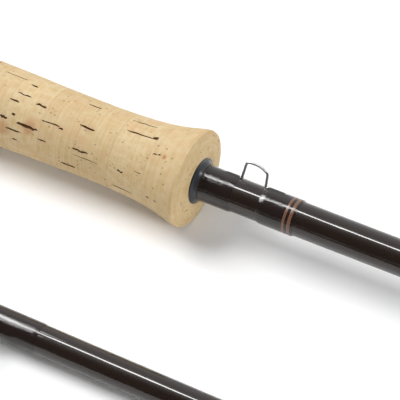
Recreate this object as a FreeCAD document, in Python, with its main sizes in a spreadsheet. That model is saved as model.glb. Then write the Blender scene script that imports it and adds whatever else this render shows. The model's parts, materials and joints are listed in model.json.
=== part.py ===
import FreeCAD, Part
import math
import os
import re
import Sketcher
from FreeCAD import Placement, Rotation, Vector

# A four-piece fly rod, taken apart and laid out side by side, with its reel on the seat.
# +X runs along the rod to the tip, +Z is up, and the table is z = 0.
# Every rod section has its own axis: distances along it start at its thick end.
# The reel lies on its side, so its axle stands along Z.

doc = FreeCAD.newDocument("fly_rod_and_reel")
sheet = doc.addObject("Spreadsheet::Sheet", "Sizes")

SIZES = {
    # the four sections
    "section_length": 727,
    "section_spacing": 69,
    "second_spacing": 70.9,
    "butt_axis_height": 15.5,
    "ferrule_length": 52,
    "ferrule_gap": 0.05,
    "blank_one_thick": 6.0,
    "blank_one_thin": 4.75,
    "blank_two_thick": 5.34,
    "blank_two_thin": 3.70,
    "blank_three_thick": 4.30,
    "blank_three_thin": 2.55,
    "blank_four_thick": 3.12,
    "blank_four_thin": 0.95,
    "blank_wall": 0.8,
    "tip_wall": 0.45,
    # thread wraps and guides
    "wrap_thickness": 0.34,
    "foot_wrap_length": 17,
    "ferrule_wrap_length": 36,
    "tilt_two": 16,
    "snake_wire": 0.5,
    "snake_length": 17,
    "snake_half_width": 3.1,
    "snake_height": 5.6,
    "tip_loop_radius": 2.4,
    "tip_loop_inset": 0.62,
    "tip_top_reach": 7.1,
    # the handle end
    "cap_length": 8,
    "cap_radius": 12.6,
    "fighting_butt_end": 44,
    "spigot_radius": 4,
    "seat_start": 50,
    "seat_end": 156,
    "seat_radius": 9,
    "seat_bore": 7.4,
    "nut_gap": 0.06,
    "nut_radius": 11.4,
    "nut_length": 7,
    "jam_nut_start": 83,
    "lock_nut_start": 90.8,
    "sliding_hood_start": 98.5,
    "sliding_hood_end": 112,
    "fixed_hood_start": 152,
    "hood_radius": 11.5,
    "hump_radius": 13.4,
    "hood_pocket_radius": 12.05,
    "grip_start": 168,
    "ring_length": 12.7,
    "ring_count": 14,
    "grip_front_radius": 15.5,
    "grip_waist_radius": 12.0,
    "grip_swell_radius": 12.5,
    "grip_rear_radius": 14.4,
    "face_dome": 1.9,
    "check_radius": 7.3,
    "check_length": 3.4,
    # the hook keeper and its wraps, measured from the front end of the last full cork ring
    "rear_wrap_end": 14.5,
    "front_wrap_start": 23.3,
    "band_one_start": 32.2,
    "band_one_end": 33.2,
    "band_two_start": 33.8,
    "band_two_end": 35,
    "front_wrap_end": 35.2,
    "keeper_wire": 0.38,
    "keeper_top": 11.0,
    "keeper_lean": 27,
    # the reel foot
    "foot_start": 103,
    "foot_end": 165,
    "foot_width": 14,
    "foot_base_radius": 9.15,
    "foot_tip_radius": 10.3,
    "foot_back_radius": 12.2,
    "stem_length": 20,
    "stem_width": 10,
    # the reel, whose heights start at the table
    "reel_offset": 70.5,
    "frame_radius": 51,
    "frame_bore": 48,
    "frame_width": 31,
    "back_rim_top": 13,
    "front_rim_base": 26,
    "web_base": 7,
    "web_top": 9.5,
    "housing_radius": 23.5,
    "housing_bore": 22,
    "housing_top": 14.5,
    "pillar_radius": 1.45,
    "pillar_circle": 49.5,
    "port_radius": 7.5,
    "port_circle": 35,
    "port_count": 6,
    "foot_flat": 50.3,
    "spindle_radius": 3,
    "spindle_neck": 2,
    "running_gap": 0.06,
    "spool_radius": 47.3,
    "arbor_radius": 26,
    "spool_rear_base": 10.3,
    "spool_front_base": 26.8,
    "spool_front_top": 28.2,
    "flange_thickness": 1.2,
    "hub_radius": 9.6,
    "hub_base": 15.1,
    "bearing_radius": 6.5,
    "clutch_radius": 7.6,
    "rotor_radius": 20.8,
    "sleeve_radius": 5,
    "sleeve_top": 20.5,
    "knob_radius": 16.5,
    "knob_base": 0.8,
    "knob_top": 6.4,
    "handle_offset": 38,
    "handle_top": 49,
    "latch_travel": 1.2,
    "latch_base": 28.6,
    "latch_thickness": 0.7,
}

for row, (alias, value) in enumerate(SIZES.items(), start=1):
    sheet.set(f"A{row}", alias)
    sheet.set(f"B{row}", str(value))
    sheet.setAlias(f"B{row}", alias)
doc.recompute()

pieces = {}


# Expressions are written with the sheet's own words, as in "seat_end - seat_start".
def bound(text):
    return re.sub(r"[a-z]\w*[a-z]\w*", lambda word: prefixed(word.group()), str(text))


def prefixed(word):
    return f"Sizes.{word}" if word in SIZES else word


def number(text):
    return float(sheet.evalExpression(bound(text)))


def bind(item, **sizes):
    for name, text in sizes.items():
        item.setExpression(name.replace("__", "."), bound(text))


# Where each section and the reel lie: the butt, then three sections beside it.
REEL_REACH = "reel_offset + frame_radius"
GUIDE_REACH = "3 * section_spacing + tip_top_reach"
BUTT_AXIS = f"({GUIDE_REACH} - ({REEL_REACH})) / 2"
PLACES = {
    "butt": ("-section_length / 2", BUTT_AXIS, "butt_axis_height"),
    "section_2": ("-section_length / 2", f"{BUTT_AXIS} - second_spacing",
                  "blank_two_thick + wrap_thickness"),
    "section_3": ("-section_length / 2", f"{BUTT_AXIS} - 2 * section_spacing",
                  "blank_three_thick + wrap_thickness"),
    "section_4": ("-section_length / 2", f"{BUTT_AXIS} - 3 * section_spacing",
                  "blank_four_thick + wrap_thickness"),
    "reel": ("(foot_start + foot_end - section_length) / 2", f"{BUTT_AXIS} + reel_offset", "0"),
}


def kept(label, item, place, turn=None):
    """Names a finished piece and puts it where its section or the reel lies."""
    item.Label = label
    if turn is not None:
        item.Placement = Placement(Vector(), turn)
    across, along, up = PLACES[place]
    bind(item, Placement__Base__x=across, Placement__Base__y=along, Placement__Base__z=up)
    pieces[label] = item
    return item


def arc_middle(start, finish, radius):
    """The middle of an arc that leaves the chord to its left, or right for a minus radius."""
    chord = finish - start
    rise = abs(radius) - math.sqrt(radius * radius - chord.Length * chord.Length / 4)
    left = Vector(-chord.y, chord.x, 0).normalize()
    return (start + finish) * 0.5 + left * math.copysign(rise, radius)


def outline(body, name, plane, corners, arcs=None):
    """A closed sketch through the corners, every one bound to the sheet."""
    arcs = arcs or {}
    sketch = body.newObject("Sketcher::SketchObject", name)
    role = f"{plane}_Plane"
    base = [item for item in body.Origin.OriginFeatures if item.Role == role][0]
    sketch.AttachmentSupport = [(base, "")]
    sketch.MapMode = "FlatFace"
    places = [Vector(number(across), number(up), 0) for across, up in corners]
    count = len(places)
    for index, start in enumerate(places):
        finish = places[(index + 1) % count]
        if index in arcs:
            radius = number(arcs[index])
            middle = arc_middle(start, finish, radius)
            first, last = (finish, start) if radius > 0 else (start, finish)
            sketch.addGeometry(Part.Arc(first, middle, last), False)
        else:
            sketch.addGeometry(Part.LineSegment(start, finish), False)

    opening = [1 if (edge.StartPoint - place).Length < 1e-4 else 2
               for edge, place in zip(sketch.Geometry, places)]
    rules = []
    texts = []
    for index, (across, up) in enumerate(corners):
        following = (index + 1) % count
        rules.append(Sketcher.Constraint(
            "Coincident", index, 3 - opening[index], following, opening[following]))
        rules.append(Sketcher.Constraint(
            "DistanceX", -1, 1, index, opening[index], places[index].x))
        rules.append(Sketcher.Constraint(
            "DistanceY", -1, 1, index, opening[index], places[index].y))
        texts += [None, across, up]
    for index, radius in arcs.items():
        rules.append(Sketcher.Constraint("Radius", index, abs(number(radius))))
        texts.append(f"abs({radius})")
    sketch.addConstraint(rules)
    for rule, text in enumerate(texts):
        if text is not None:
            sketch.setExpression(f"Constraints[{rule}]", bound(text))
    return sketch


def turned(name, corners, axis, arcs=None):
    """A body turned about X (corners are distance, radius) or Z (radius, height)."""
    body = doc.addObject("PartDesign::Body", name)
    sketch = outline(body, f"{name}_outline", "XZ", corners, arcs)
    spin = body.newObject("PartDesign::Revolution", f"{name}_turned")
    spin.Profile = sketch
    spin.ReferenceAxis = (sketch, ["H_Axis" if axis == "X" else "V_Axis"])
    spin.Angle = 360
    return body


ALONG = {
    "X": Rotation(Vector(0, 1, 0), 90),
    "Y": Rotation(Vector(1, 0, 0), -90),
    "Z": Rotation(),
}


def primitive(kind, name, at, axis="Z", **sizes):
    """A Part primitive whose sizes and base point are bound to the sheet."""
    item = doc.addObject(f"Part::{kind}", name)
    bind(item, **sizes)
    item.Placement = Placement(Vector(), ALONG[axis])
    bind(item, Placement__Base__x=at[0], Placement__Base__y=at[1], Placement__Base__z=at[2])
    return item


def cylinder(name, radius, height, at=("0", "0", "0"), axis="Z"):
    return primitive("Cylinder", name, at, axis, Radius=radius, Height=height)


def box(name, length, width, height, at):
    return primitive("Box", name, at, Length=length, Width=width, Height=height)


def boolean(kind, name, base, tool):
    item = doc.addObject(f"Part::{kind}", name)
    item.Base = base
    item.Tool = tool
    return item


def group(name, members):
    item = doc.addObject("Part::Compound", name)
    item.Links = members
    return item


def joined(name, members):
    item = doc.addObject("Part::MultiFuse", name)
    item.Shapes = members
    return item


def on_circle(radius, degrees):
    """A point on a circle about the axis, as expressions of that radius."""
    angle = math.radians(degrees)
    return (f"({radius}) * {math.cos(angle):.6f}", f"({radius}) * {math.sin(angle):.6f}")


def ring_of(count, radius, first_angle=0):
    """Points evenly round a circle."""
    for step in range(count):
        yield on_circle(radius, first_angle + 360 * step / count)


def bent_wire(name, points, radius, bends):
    """A round wire along straight runs joined by tangent arcs of the given bend radii."""
    edges = []
    last = points[0]
    for before, corner, after, bend in zip(points, points[1:], points[2:], bends):
        arriving = (corner - before).normalize()
        leaving = (after - corner).normalize()
        half_turn = arriving.getAngle(leaving) / 2
        reach = bend * math.tan(half_turn)
        start = corner - arriving * reach
        finish = corner + leaving * reach
        to_centre = (leaving - arriving).normalize()
        middle = corner + to_centre * (bend / math.cos(half_turn) - bend)
        if (start - last).Length > 1e-4:
            edges.append(Part.LineSegment(last, start).toShape())
        edges.append(Part.Arc(start, middle, finish).toShape())
        last = finish
    edges.append(Part.LineSegment(last, points[-1]).toShape())
    path = Part.Wire(edges)
    heading = points[1] - points[0]
    section = Part.Wire([Part.Circle(points[0], heading, radius).toShape()])
    wire = doc.addObject("Part::Feature", name)
    wire.Shape = path.makePipeShell([section], True, True)
    return wire


# ---- The blanks ----
# Each section is a tapered carbon tube. Sections 2 to 4 slide over the thin end of the
# section before, in a socket at their thick end.
BLANKS = {
    "butt": ("blank_one_thick", "blank_one_thin", "blank_wall"),
    "section_2": ("blank_two_thick", "blank_two_thin", "blank_wall"),
    "section_3": ("blank_three_thick", "blank_three_thin", "tip_wall"),
    "section_4": ("blank_four_thick", "blank_four_thin", "tip_wall"),
}
SECTIONS = list(BLANKS)


def blank_radius(place, distance):
    thick, thin, _ = BLANKS[place]
    return f"({thick} + ({thin} - {thick}) * ({distance}) / section_length)"


def bore_radius(place, distance):
    return f"({blank_radius(place, distance)} - {BLANKS[place][2]})"


kept("butt_blank", turned("butt_blank", [
    ("seat_start + 2", bore_radius("butt", "seat_start + 2")),
    ("section_length", bore_radius("butt", "section_length")),
    ("section_length", blank_radius("butt", "section_length")),
    ("seat_start + 2", blank_radius("butt", "seat_start + 2")),
], "X"), "butt")

for before, place in zip(SECTIONS, SECTIONS[1:]):
    label = place.replace("section", "blank")
    socket_mouth = f"({blank_radius(before, 'section_length - ferrule_length')} + ferrule_gap)"
    socket_end = f"({blank_radius(before, 'section_length')} + ferrule_gap)"
    kept(label, turned(label, [
        ("0", socket_mouth),
        ("ferrule_length", socket_end),
        ("ferrule_length", bore_radius(place, "ferrule_length")),
        ("section_length", bore_radius(place, "section_length")),
        ("section_length", blank_radius(place, "section_length")),
        ("0", blank_radius(place, "0")),
    ], "X"), place)


# ---- The handle end, from the butt cap to the cork grip ----
kept("butt_cap", turned("butt_cap", [
    ("0", "0"),
    ("0", "cap_radius - 4"),
    ("4", "cap_radius"),
    ("cap_length", "cap_radius"),
    ("cap_length", "spigot_radius"),
    ("2", "spigot_radius"),
    ("2", "0"),
], "X", {1: "4.3"}), "butt")

kept("fighting_butt", turned("fighting_butt", [
    ("cap_length", "spigot_radius"),
    ("cap_length", "cap_radius"),
    ("fighting_butt_end", "seat_radius + 2"),
    ("fighting_butt_end", "spigot_radius"),
], "X", {1: "90"}), "butt")

kept("butt_end_ring", turned("butt_end_ring", [
    ("2", "0"),
    ("2", "spigot_radius"),
    ("fighting_butt_end", "spigot_radius"),
    ("fighting_butt_end", "seat_radius + 1.6"),
    ("seat_start", "seat_radius + 1.2"),
    ("seat_start", "seat_bore"),
    ("seat_start + 2", "seat_bore"),
    ("seat_start + 2", "0"),
], "X"), "butt")

kept("seat_barrel", turned("seat_barrel", [
    ("seat_start", "seat_bore"),
    ("seat_start", "seat_radius"),
    ("seat_end", "seat_radius"),
    ("seat_end", "seat_bore"),
], "X"), "butt")

kept("seat_arbor", turned("seat_arbor", [
    ("seat_start + 2", blank_radius("butt", "seat_start + 2")),
    ("seat_start + 2", "seat_bore"),
    ("grip_start", "seat_bore"),
    ("grip_start", blank_radius("butt", "grip_start")),
], "X"), "butt")


def knurled_nut(label, start):
    return kept(label, turned(label, [
        (start, "seat_radius + nut_gap"),
        (start, "nut_radius - 0.6"),
        (f"{start} + 0.8", "nut_radius"),
        (f"{start} + nut_length - 0.8", "nut_radius"),
        (f"{start} + nut_length", "nut_radius - 0.6"),
        (f"{start} + nut_length", "seat_radius + nut_gap"),
    ], "X"), "butt")


knurled_nut("jam_nut", "jam_nut_start")
knurled_nut("lock_nut", "lock_nut_start")


def reel_side(name, start, finish, inner, outer, width):
    """The part of a ring about the seat that faces the reel, as wide as given."""
    whole = turned(f"{name}_ring", [
        (start, inner), (start, outer), (finish, outer), (finish, inner)], "X")
    window = box(f"{name}_window", f"{finish} - ({start})", "hump_radius + 1", width,
                 (start, "0", f"-({width}) / 2"))
    return boolean("Common", name, whole, window)


# The sliding hood is a sleeve with a humped pocket for the end of the reel foot.
sleeve = turned("sliding_sleeve", [
    ("sliding_hood_start", "seat_radius + nut_gap"),
    ("sliding_hood_start", "hood_radius"),
    ("sliding_hood_end", "hood_radius"),
    ("sliding_hood_end", "seat_radius + nut_gap"),
], "X")
hump = reel_side("sliding_hump", "sliding_hood_start", "sliding_hood_end",
                 "seat_radius + 1", "hump_radius", "foot_width + 4")
pocket = reel_side("sliding_pocket", "foot_start - 0.6", "sliding_hood_end + 1",
                   "seat_radius - 1", "hood_pocket_radius", "foot_width + 0.8")
kept("sliding_hood", boolean("Cut", "sliding_hood",
                             joined("sliding_shell", [sleeve, hump]), pocket), "butt")

# The fixed hood is glued to the front end of the barrel, against the cork.
collar = turned("fixed_collar", [
    ("fixed_hood_start", "seat_radius"),
    ("fixed_hood_start", "hood_radius"),
    ("grip_start", "hood_radius + 1"),
    ("grip_start", "seat_bore"),
    ("seat_end", "seat_bore"),
    ("seat_end", "seat_radius"),
], "X")
hump = reel_side("fixed_hump", "fixed_hood_start", "grip_start",
                 "seat_radius + 1", "hump_radius", "foot_width + 4")
pocket = reel_side("fixed_pocket", "fixed_hood_start - 1", "foot_end + 0.5",
                   "seat_radius", "hood_pocket_radius", "foot_width + 0.6")
kept("fixed_hood", boolean("Cut", "fixed_hood",
                           joined("fixed_shell", [collar, hump]), pocket), "butt")

# The grip is turned from fourteen glued cork rings: a full-wells shape, flared at both ends.
# Its front face is slightly domed, so the middle of it stands proud of the rim.
GRIP_END = "(grip_start + ring_count * ring_length)"
GRIP_FACE = f"({GRIP_END} + face_dome)"
CHECK_END = f"({GRIP_FACE} + check_length)"
grip = turned("grip_stick", [
    ("grip_start", blank_radius("butt", "grip_start")),
    ("grip_start", "hood_radius + 1.4"),
    ("grip_start + 4", "grip_rear_radius"),
    ("grip_start + 52", "grip_swell_radius"),
    (f"{GRIP_END} - 64", "grip_swell_radius"),
    (f"{GRIP_END} - 35", "grip_waist_radius"),
    (f"{GRIP_END} - 14.5", "grip_waist_radius + 0.8"),
    (f"{GRIP_END} + 0.2", "grip_front_radius"),
    (f"{GRIP_END} + 0.7", "grip_front_radius - 0.6"),
    (GRIP_FACE, "check_radius"),
    (GRIP_FACE, blank_radius("butt", GRIP_FACE)),
], "X", {2: "-610", 3: "1500", 4: "-850", 5: "-265", 6: "-57"})
rings = []
for ring in range(int(SIZES["ring_count"])):
    is_front = ring == SIZES["ring_count"] - 1
    slab = cylinder(f"ring_slab_{ring + 1}", "grip_front_radius + 2",
                    "ring_length + face_dome" if is_front else "ring_length",
                    (f"grip_start + {ring} * ring_length", "0", "0"), "X")
    rings.append(boolean("Common", f"cork_ring_{ring + 1}", grip, slab))
kept("cork_grip", group("cork_grip", rings), "butt")

kept("winding_check", turned("winding_check", [
    (GRIP_FACE, blank_radius("butt", GRIP_FACE)),
    (GRIP_FACE, "check_radius"),
    (f"{GRIP_FACE} + 0.25", "check_radius"),
    (CHECK_END, f"{blank_radius('butt', CHECK_END)} + 0.12"),
    (CHECK_END, blank_radius("butt", CHECK_END)),
], "X", {2: "-4.4"}), "butt")


# ---- Thread wraps ----
def wrap(name, place, start, finish, extra="wrap_thickness"):
    """A sleeve of thread over the blank, which follows the blank's taper."""
    outer = primitive("Cone", f"{name}_outside", (start, "0", "0"), "X",
                      Height=f"{finish} - ({start})",
                      Radius1=f"{blank_radius(place, start)} + {extra}",
                      Radius2=f"{blank_radius(place, finish)} + {extra}")
    inner = primitive("Cone", f"{name}_inside", (start, "0", "0"), "X",
                      Height=f"{finish} - ({start})",
                      Radius1=blank_radius(place, start),
                      Radius2=blank_radius(place, finish))
    return boolean("Cut", name, outer, inner)


def from_grip(distance):
    return f"{GRIP_END} + {distance}"


# The keeper is a bent wire loop. Its two feet lie along the blank under the thread.
keeper_x = number(GRIP_END)
foot_level = number(blank_radius("butt", GRIP_END)) + 0.45
keeper = bent_wire("hook_keeper", [
    Vector(keeper_x + 8.5, 0, foot_level),
    Vector(keeper_x + 14.7, 0, foot_level),
    Vector(keeper_x + 15.0, 0, SIZES["keeper_top"] - 0.5),
    Vector(keeper_x + 18.2, 0, SIZES["keeper_top"]),
    Vector(keeper_x + 22.1, 0, SIZES["keeper_top"] - 0.8),
    Vector(keeper_x + 22.9, 0, foot_level),
    Vector(keeper_x + 30.0, 0, foot_level),
], SIZES["keeper_wire"], [0.9, 0.9, 5.0, 0.9, 0.9])
keeper_turn = Rotation(Vector(1, 0, 0), -SIZES["keeper_lean"])
keeper_tool = doc.addObject("Part::Feature", "keeper_channel")
keeper_tool.Shape = keeper.Shape
keeper_tool.Placement = Placement(Vector(), keeper_turn)
kept("hook_keeper", keeper, "butt", keeper_turn)

butt_wraps = group("butt_wrap_sleeves", [
    wrap("rear_wrap", "butt", CHECK_END, from_grip("rear_wrap_end")),
    wrap("front_wrap", "butt", from_grip("front_wrap_start"), from_grip("band_one_start")),
    wrap("centre_wrap", "butt", from_grip("band_one_end"), from_grip("band_two_start")),
    wrap("last_wrap", "butt", from_grip("band_two_end"), from_grip("front_wrap_end")),
    wrap("spigot_wrap", "butt", "section_length - ferrule_length - 14",
         "section_length - ferrule_length - 4"),
])
kept("butt_wraps", boolean("Cut", "butt_wraps", butt_wraps, keeper_tool), "butt")
kept("trim_bands", group("trim_bands", [
    wrap("band_one", "butt", from_grip("band_one_start"), from_grip("band_one_end")),
    wrap("band_two", "butt", from_grip("band_two_start"), from_grip("band_two_end")),
]), "butt")


# ---- Guides ----
# A snake guide is one wire: two feet on the blank and a twisted loop that stands off it.
def snake_guide(name, place, distance, scale):
    base = number(blank_radius(place, distance)) + SIZES["snake_wire"] + 0.03
    half = SIZES["snake_length"] * scale / 2
    width = SIZES["snake_half_width"] * scale
    top = base + SIZES["snake_height"] * scale - SIZES["snake_wire"]
    low = base + 0.22 * (top - base)
    high = base + 0.80 * (top - base)
    points = [
        Vector(-half - 9, 0, base),
        Vector(-half, 0, base),
        Vector(-0.52 * half, -width, low),
        Vector(-0.22 * half, -width, high),
        Vector(0.22 * half, width, high),
        Vector(0.52 * half, width, low),
        Vector(half, 0, base),
        Vector(half + 9, 0, base),
    ]
    bend = 0.9 * scale
    wire = bent_wire(name, [point + Vector(distance, 0, 0) for point in points],
                     SIZES["snake_wire"], [bend] * 6)
    return wire


def towards_minus_y(tilt):
    """Turns a guide that is built upright so that it lies on the -Y side of its section."""
    return Rotation(Vector(1, 0, 0), 90 - tilt)


def guide_wraps(place, distances, halves):
    """The two foot wraps of each guide, at the ends of its loop."""
    length = SIZES["foot_wrap_length"]
    for distance, half in zip(distances, halves):
        name = f"{place}_wrap_{distance}"
        yield wrap(f"{name}_rear", place, f"{distance - half} - {length}", f"{distance - half}")
        yield wrap(f"{name}_front", place, f"{distance + half}", f"{distance + half} + {length}")


def wraps_with_feet(label, place, sleeves, feet, turn):
    """Thread wraps with the channel that each guide foot fills."""
    channel = doc.addObject("Part::Feature", f"{label}_channel")
    channel.Shape = Part.makeCompound([foot.Shape for foot in feet])
    channel.Placement = Placement(Vector(), turn)
    sleeves = group(f"{label}_sleeves", sleeves)
    return kept(label, boolean("Cut", label, sleeves, channel), place)


def stripping_guide(name, place, distance, ring_radius, stand, half):
    """A ring frame on three legs: two spread at the front and one at the rear."""
    base = number(blank_radius(place, distance)) + SIZES["snake_wire"] + 0.03
    centre = base + stand
    frame_ring = doc.addObject("Part::Feature", f"{name}_ring")
    profile = Part.Face(Part.Wire([Part.Circle(
        Vector(distance, 0, centre + ring_radius), Vector(0, 1, 0), 0.75).toShape()]))
    frame_ring.Shape = profile.revolve(Vector(distance, 0, centre), Vector(1, 0, 0), 360)
    legs = []
    for side in (-1, 1):
        spread = math.radians(55)
        legs.append(bent_wire(f"{name}_front_leg_{side}", [
            Vector(distance, side * ring_radius * math.sin(spread),
                   centre - ring_radius * math.cos(spread)),
            Vector(distance + 0.8 * half, side * 0.56, base + 0.6),
            Vector(distance + half + 11, side * 0.56, base),
        ], SIZES["snake_wire"], [3.0]))
    legs.append(bent_wire(f"{name}_rear_leg", [
        Vector(distance, 0, centre - ring_radius),
        Vector(distance - 0.8 * half, 0, base),
        Vector(distance - half - 11, 0, base),
    ], SIZES["snake_wire"], [3.0]))
    guide = doc.addObject("Part::Feature", name)
    guide.Shape = frame_ring.Shape.multiFuse([leg.Shape for leg in legs]).removeSplitter()
    return guide


def ceramic_ring(name, place, distance, ring_radius, stand):
    """The hard ring that lines a stripping guide."""
    centre = number(blank_radius(place, distance)) + SIZES["snake_wire"] + 0.03 + stand
    outer = ring_radius - 0.75
    profile = Part.makePolygon([
        Vector(distance - 1.1, 0, centre + outer),
        Vector(distance - 1.3, 0, centre + outer - 0.9),
        Vector(distance + 1.3, 0, centre + outer - 0.9),
        Vector(distance + 1.1, 0, centre + outer),
        Vector(distance - 1.1, 0, centre + outer),
    ])
    ring = doc.addObject("Part::Feature", name)
    ring.Shape = Part.Face(profile).revolve(
        Vector(distance, 0, centre), Vector(1, 0, 0), 360)
    return ring


STRIPPERS = {  # distance, ring radius, height of the ring's centre, half length
    "large_stripping_guide": (312, 7.8, 13.2, 11),
    "small_stripping_guide": (611, 5.9, 10.2, 9),
}
section_two_turn = towards_minus_y(SIZES["tilt_two"])
frames = []
liners = []
for label, (distance, radius, stand, half) in STRIPPERS.items():
    guide = stripping_guide(label, "section_2", distance, radius, stand, half)
    liners.append(ceramic_ring(f"{label}_liner", "section_2", distance, radius, stand))
    frames.append(guide)
sleeves = [wrap("ferrule_wrap_2", "section_2", "0.5", "ferrule_wrap_length")]
sleeves += list(guide_wraps("section_2", [row[0] for row in STRIPPERS.values()],
                            [row[3] - 4 for row in STRIPPERS.values()]))
wraps_with_feet("wraps_2", "section_2", sleeves, frames, section_two_turn)
for frame in frames:
    kept(frame.Name, frame, "section_2", section_two_turn)
kept("guide_ring_liners", group("guide_ring_liners", liners), "section_2", section_two_turn)

SNAKES = {"section_3": ([205, 434, 637], 1.0), "section_4": ([143, 308, 460, 600], 0.8)}
for place, (distances, scale) in SNAKES.items():
    number_of = place[-1]
    turn = towards_minus_y(0)
    guides = [snake_guide(f"snake_{number_of}_{distance}", place, distance, scale)
              for distance in distances]
    half = SIZES["snake_length"] * scale / 2
    sleeves = [wrap(f"ferrule_wrap_{number_of}", place, "0.5", "ferrule_wrap_length")]
    sleeves += list(guide_wraps(place, distances, [half - 2] * len(distances)))
    if place == "section_4":
        sleeves.append(wrap("tip_wrap", place, "section_length - 24", "section_length - 8"))
    wraps_with_feet(f"wraps_{number_of}", place, sleeves, guides, turn)
    kept(f"snake_guides_{number_of}", group(f"snake_guides_{number_of}", guides), place, turn)

# The tip top is a short tube glued over the tip, with a loop of wire brazed to it.
tip_start = SIZES["section_length"] - 8
tip_inner = number(blank_radius("section_4", "section_length - 8"))
tube = Part.makeCylinder(tip_inner + 0.35, 7.9, Vector(tip_start, 0, 0), Vector(1, 0, 0))
tube = tube.cut(Part.makeCylinder(tip_inner, 7.9, Vector(tip_start, 0, 0), Vector(1, 0, 0)))
loop_height = SIZES["tip_top_reach"] - SIZES["tip_loop_radius"] - SIZES["snake_wire"]
loop_centre = Vector(SIZES["section_length"] - SIZES["tip_loop_inset"], 0, loop_height)
loop = Part.makeTorus(SIZES["tip_loop_radius"], SIZES["snake_wire"], loop_centre,
                      Vector(1, 0, 0))
tip_top = doc.addObject("Part::Feature", "tip_top")
tip_top.Shape = tube.fuse(loop.cut(Part.makeCylinder(
    tip_inner + 0.1, 8, Vector(tip_start, 0, 0), Vector(1, 0, 0)))).removeSplitter()
kept("tip_top", tip_top, "section_4", towards_minus_y(0))


# ---- The reel foot ----
saddle = reel_side("foot_saddle", "foot_start", "foot_end", "foot_base_radius",
                   "foot_back_radius", "foot_width")
taper = turned("foot_taper", [
    ("foot_start", "0"),
    ("foot_start", "foot_tip_radius"),
    ("foot_start + 18", "foot_back_radius"),
    ("foot_end - 18", "foot_back_radius"),
    ("foot_end", "foot_tip_radius"),
    ("foot_end", "0"),
], "X")
STEM_BASE = "foot_base_radius + 0.6"
stem = box("foot_stem", "stem_length", f"reel_offset - foot_flat - ({STEM_BASE})", "stem_width",
           ("(foot_start + foot_end - stem_length) / 2", STEM_BASE, "-stem_width / 2"))
foot = joined("foot_blank", [boolean("Common", "foot_plate", saddle, taper), stem])
SCREW_X = [f"(foot_start + foot_end) / 2 + {offset}" for offset in (-6, 6)]
screw_holes = group("foot_screw_holes", [
    cylinder(f"foot_screw_hole_{index}", "1.25", "7", (x, "reel_offset - foot_flat - 6", "0"), "Y")
    for index, x in enumerate(SCREW_X)])
kept("reel_foot", boolean("Cut", "reel_foot", foot, screw_holes), "butt")

screws = []
for index, x in enumerate(SCREW_X):
    at = (x, "reel_offset - foot_flat - 5.8", "0")
    shank = cylinder(f"foot_screw_shank_{index}", "1.2", "7", at, "Y")
    head = primitive("Cone", f"foot_screw_head_{index}",
                     (x, "reel_offset - foot_flat + 1.0", "0"), "Y",
                     Radius1="1.2", Radius2="2.2", Height="1.0")
    screws.append(joined(f"foot_screw_{index}", [shank, head]))
kept("foot_screws", group("foot_screws", screws), "butt")


# ---- The reel frame ----
# A back rim with its dished plate and drag housing, a front rim, three pillars and a foot bar.
back = turned("frame_back", [
    ("spindle_radius + running_gap", "web_base"),
    ("frame_bore - 2", "web_base"),
    ("frame_bore - 0.4", "0.8"),
    ("frame_bore + 0.4", "0"),
    ("frame_radius - 0.8", "0"),
    ("frame_radius", "0.8"),
    ("frame_radius", "back_rim_top - 0.6"),
    ("frame_radius - 0.6", "back_rim_top"),
    ("frame_bore", "back_rim_top"),
    ("frame_bore", "web_top"),
    ("housing_radius", "web_top"),
    ("housing_radius", "housing_top"),
    ("housing_bore", "housing_top"),
    ("housing_bore", "web_top"),
    ("spindle_radius + running_gap", "web_top"),
], "Z")
front = turned("frame_front", [
    ("frame_bore", "front_rim_base"),
    ("frame_radius", "front_rim_base"),
    ("frame_radius", "frame_width - 0.8"),
    ("frame_radius - 0.8", "frame_width"),
    ("frame_bore + 0.6", "frame_width"),
    ("frame_bore", "frame_width - 0.6"),
], "Z")
PILLAR_ANGLES = (20, 90, 160)  # the line leaves between the first pillar and the foot bar
pillars = []
for angle in PILLAR_ANGLES:
    x, y = on_circle("pillar_circle", angle)
    pillars.append(cylinder(f"pillar_{angle}", "pillar_radius",
                            "front_rim_base - back_rim_top + 2", (x, y, "back_rim_top - 1")))
bar_ring = turned("foot_bar_ring", [
    ("frame_bore + 0.1", "back_rim_top - 1"),
    ("frame_radius", "back_rim_top - 1"),
    ("frame_radius", "front_rim_base + 1"),
    ("frame_bore + 0.1", "front_rim_base + 1"),
], "Z")
bar_window = box("foot_bar_window", "26", "20", "frame_width", ("-13", "-frame_radius - 1", "0"))
foot_bar = boolean("Common", "foot_bar", bar_ring, bar_window)
frame_solid = joined("frame_solid", [back, front, foot_bar] + pillars)
ports = [cylinder(f"back_port_{index}", "port_radius", "10", (x, y, "web_base - 3"))
         for index, (x, y) in enumerate(ring_of(int(SIZES["port_count"]), "port_circle", 30))]
flat = box("foot_flat_cut", "stem_length", "4", "frame_width",
           ("-stem_length / 2", "-foot_flat - 4", "0"))
screw_seats = []
for index, x in enumerate(("-6", "6")):
    screw_seats.append(cylinder(f"screw_pass_{index}", "1.25", "4",
                                (x, "-foot_flat - 1", "butt_axis_height"), "Y"))
    screw_seats.append(primitive("Cone", f"screw_seat_{index}",
                                 (x, "-foot_flat + 0.9", "butt_axis_height"), "Y",
                                 Radius1="1.2", Radius2="2.6", Height="1.4"))
kept("reel_frame", boolean("Cut", "reel_frame", frame_solid,
                           joined("frame_cuts", ports + [flat] + screw_seats)), "reel")


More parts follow.
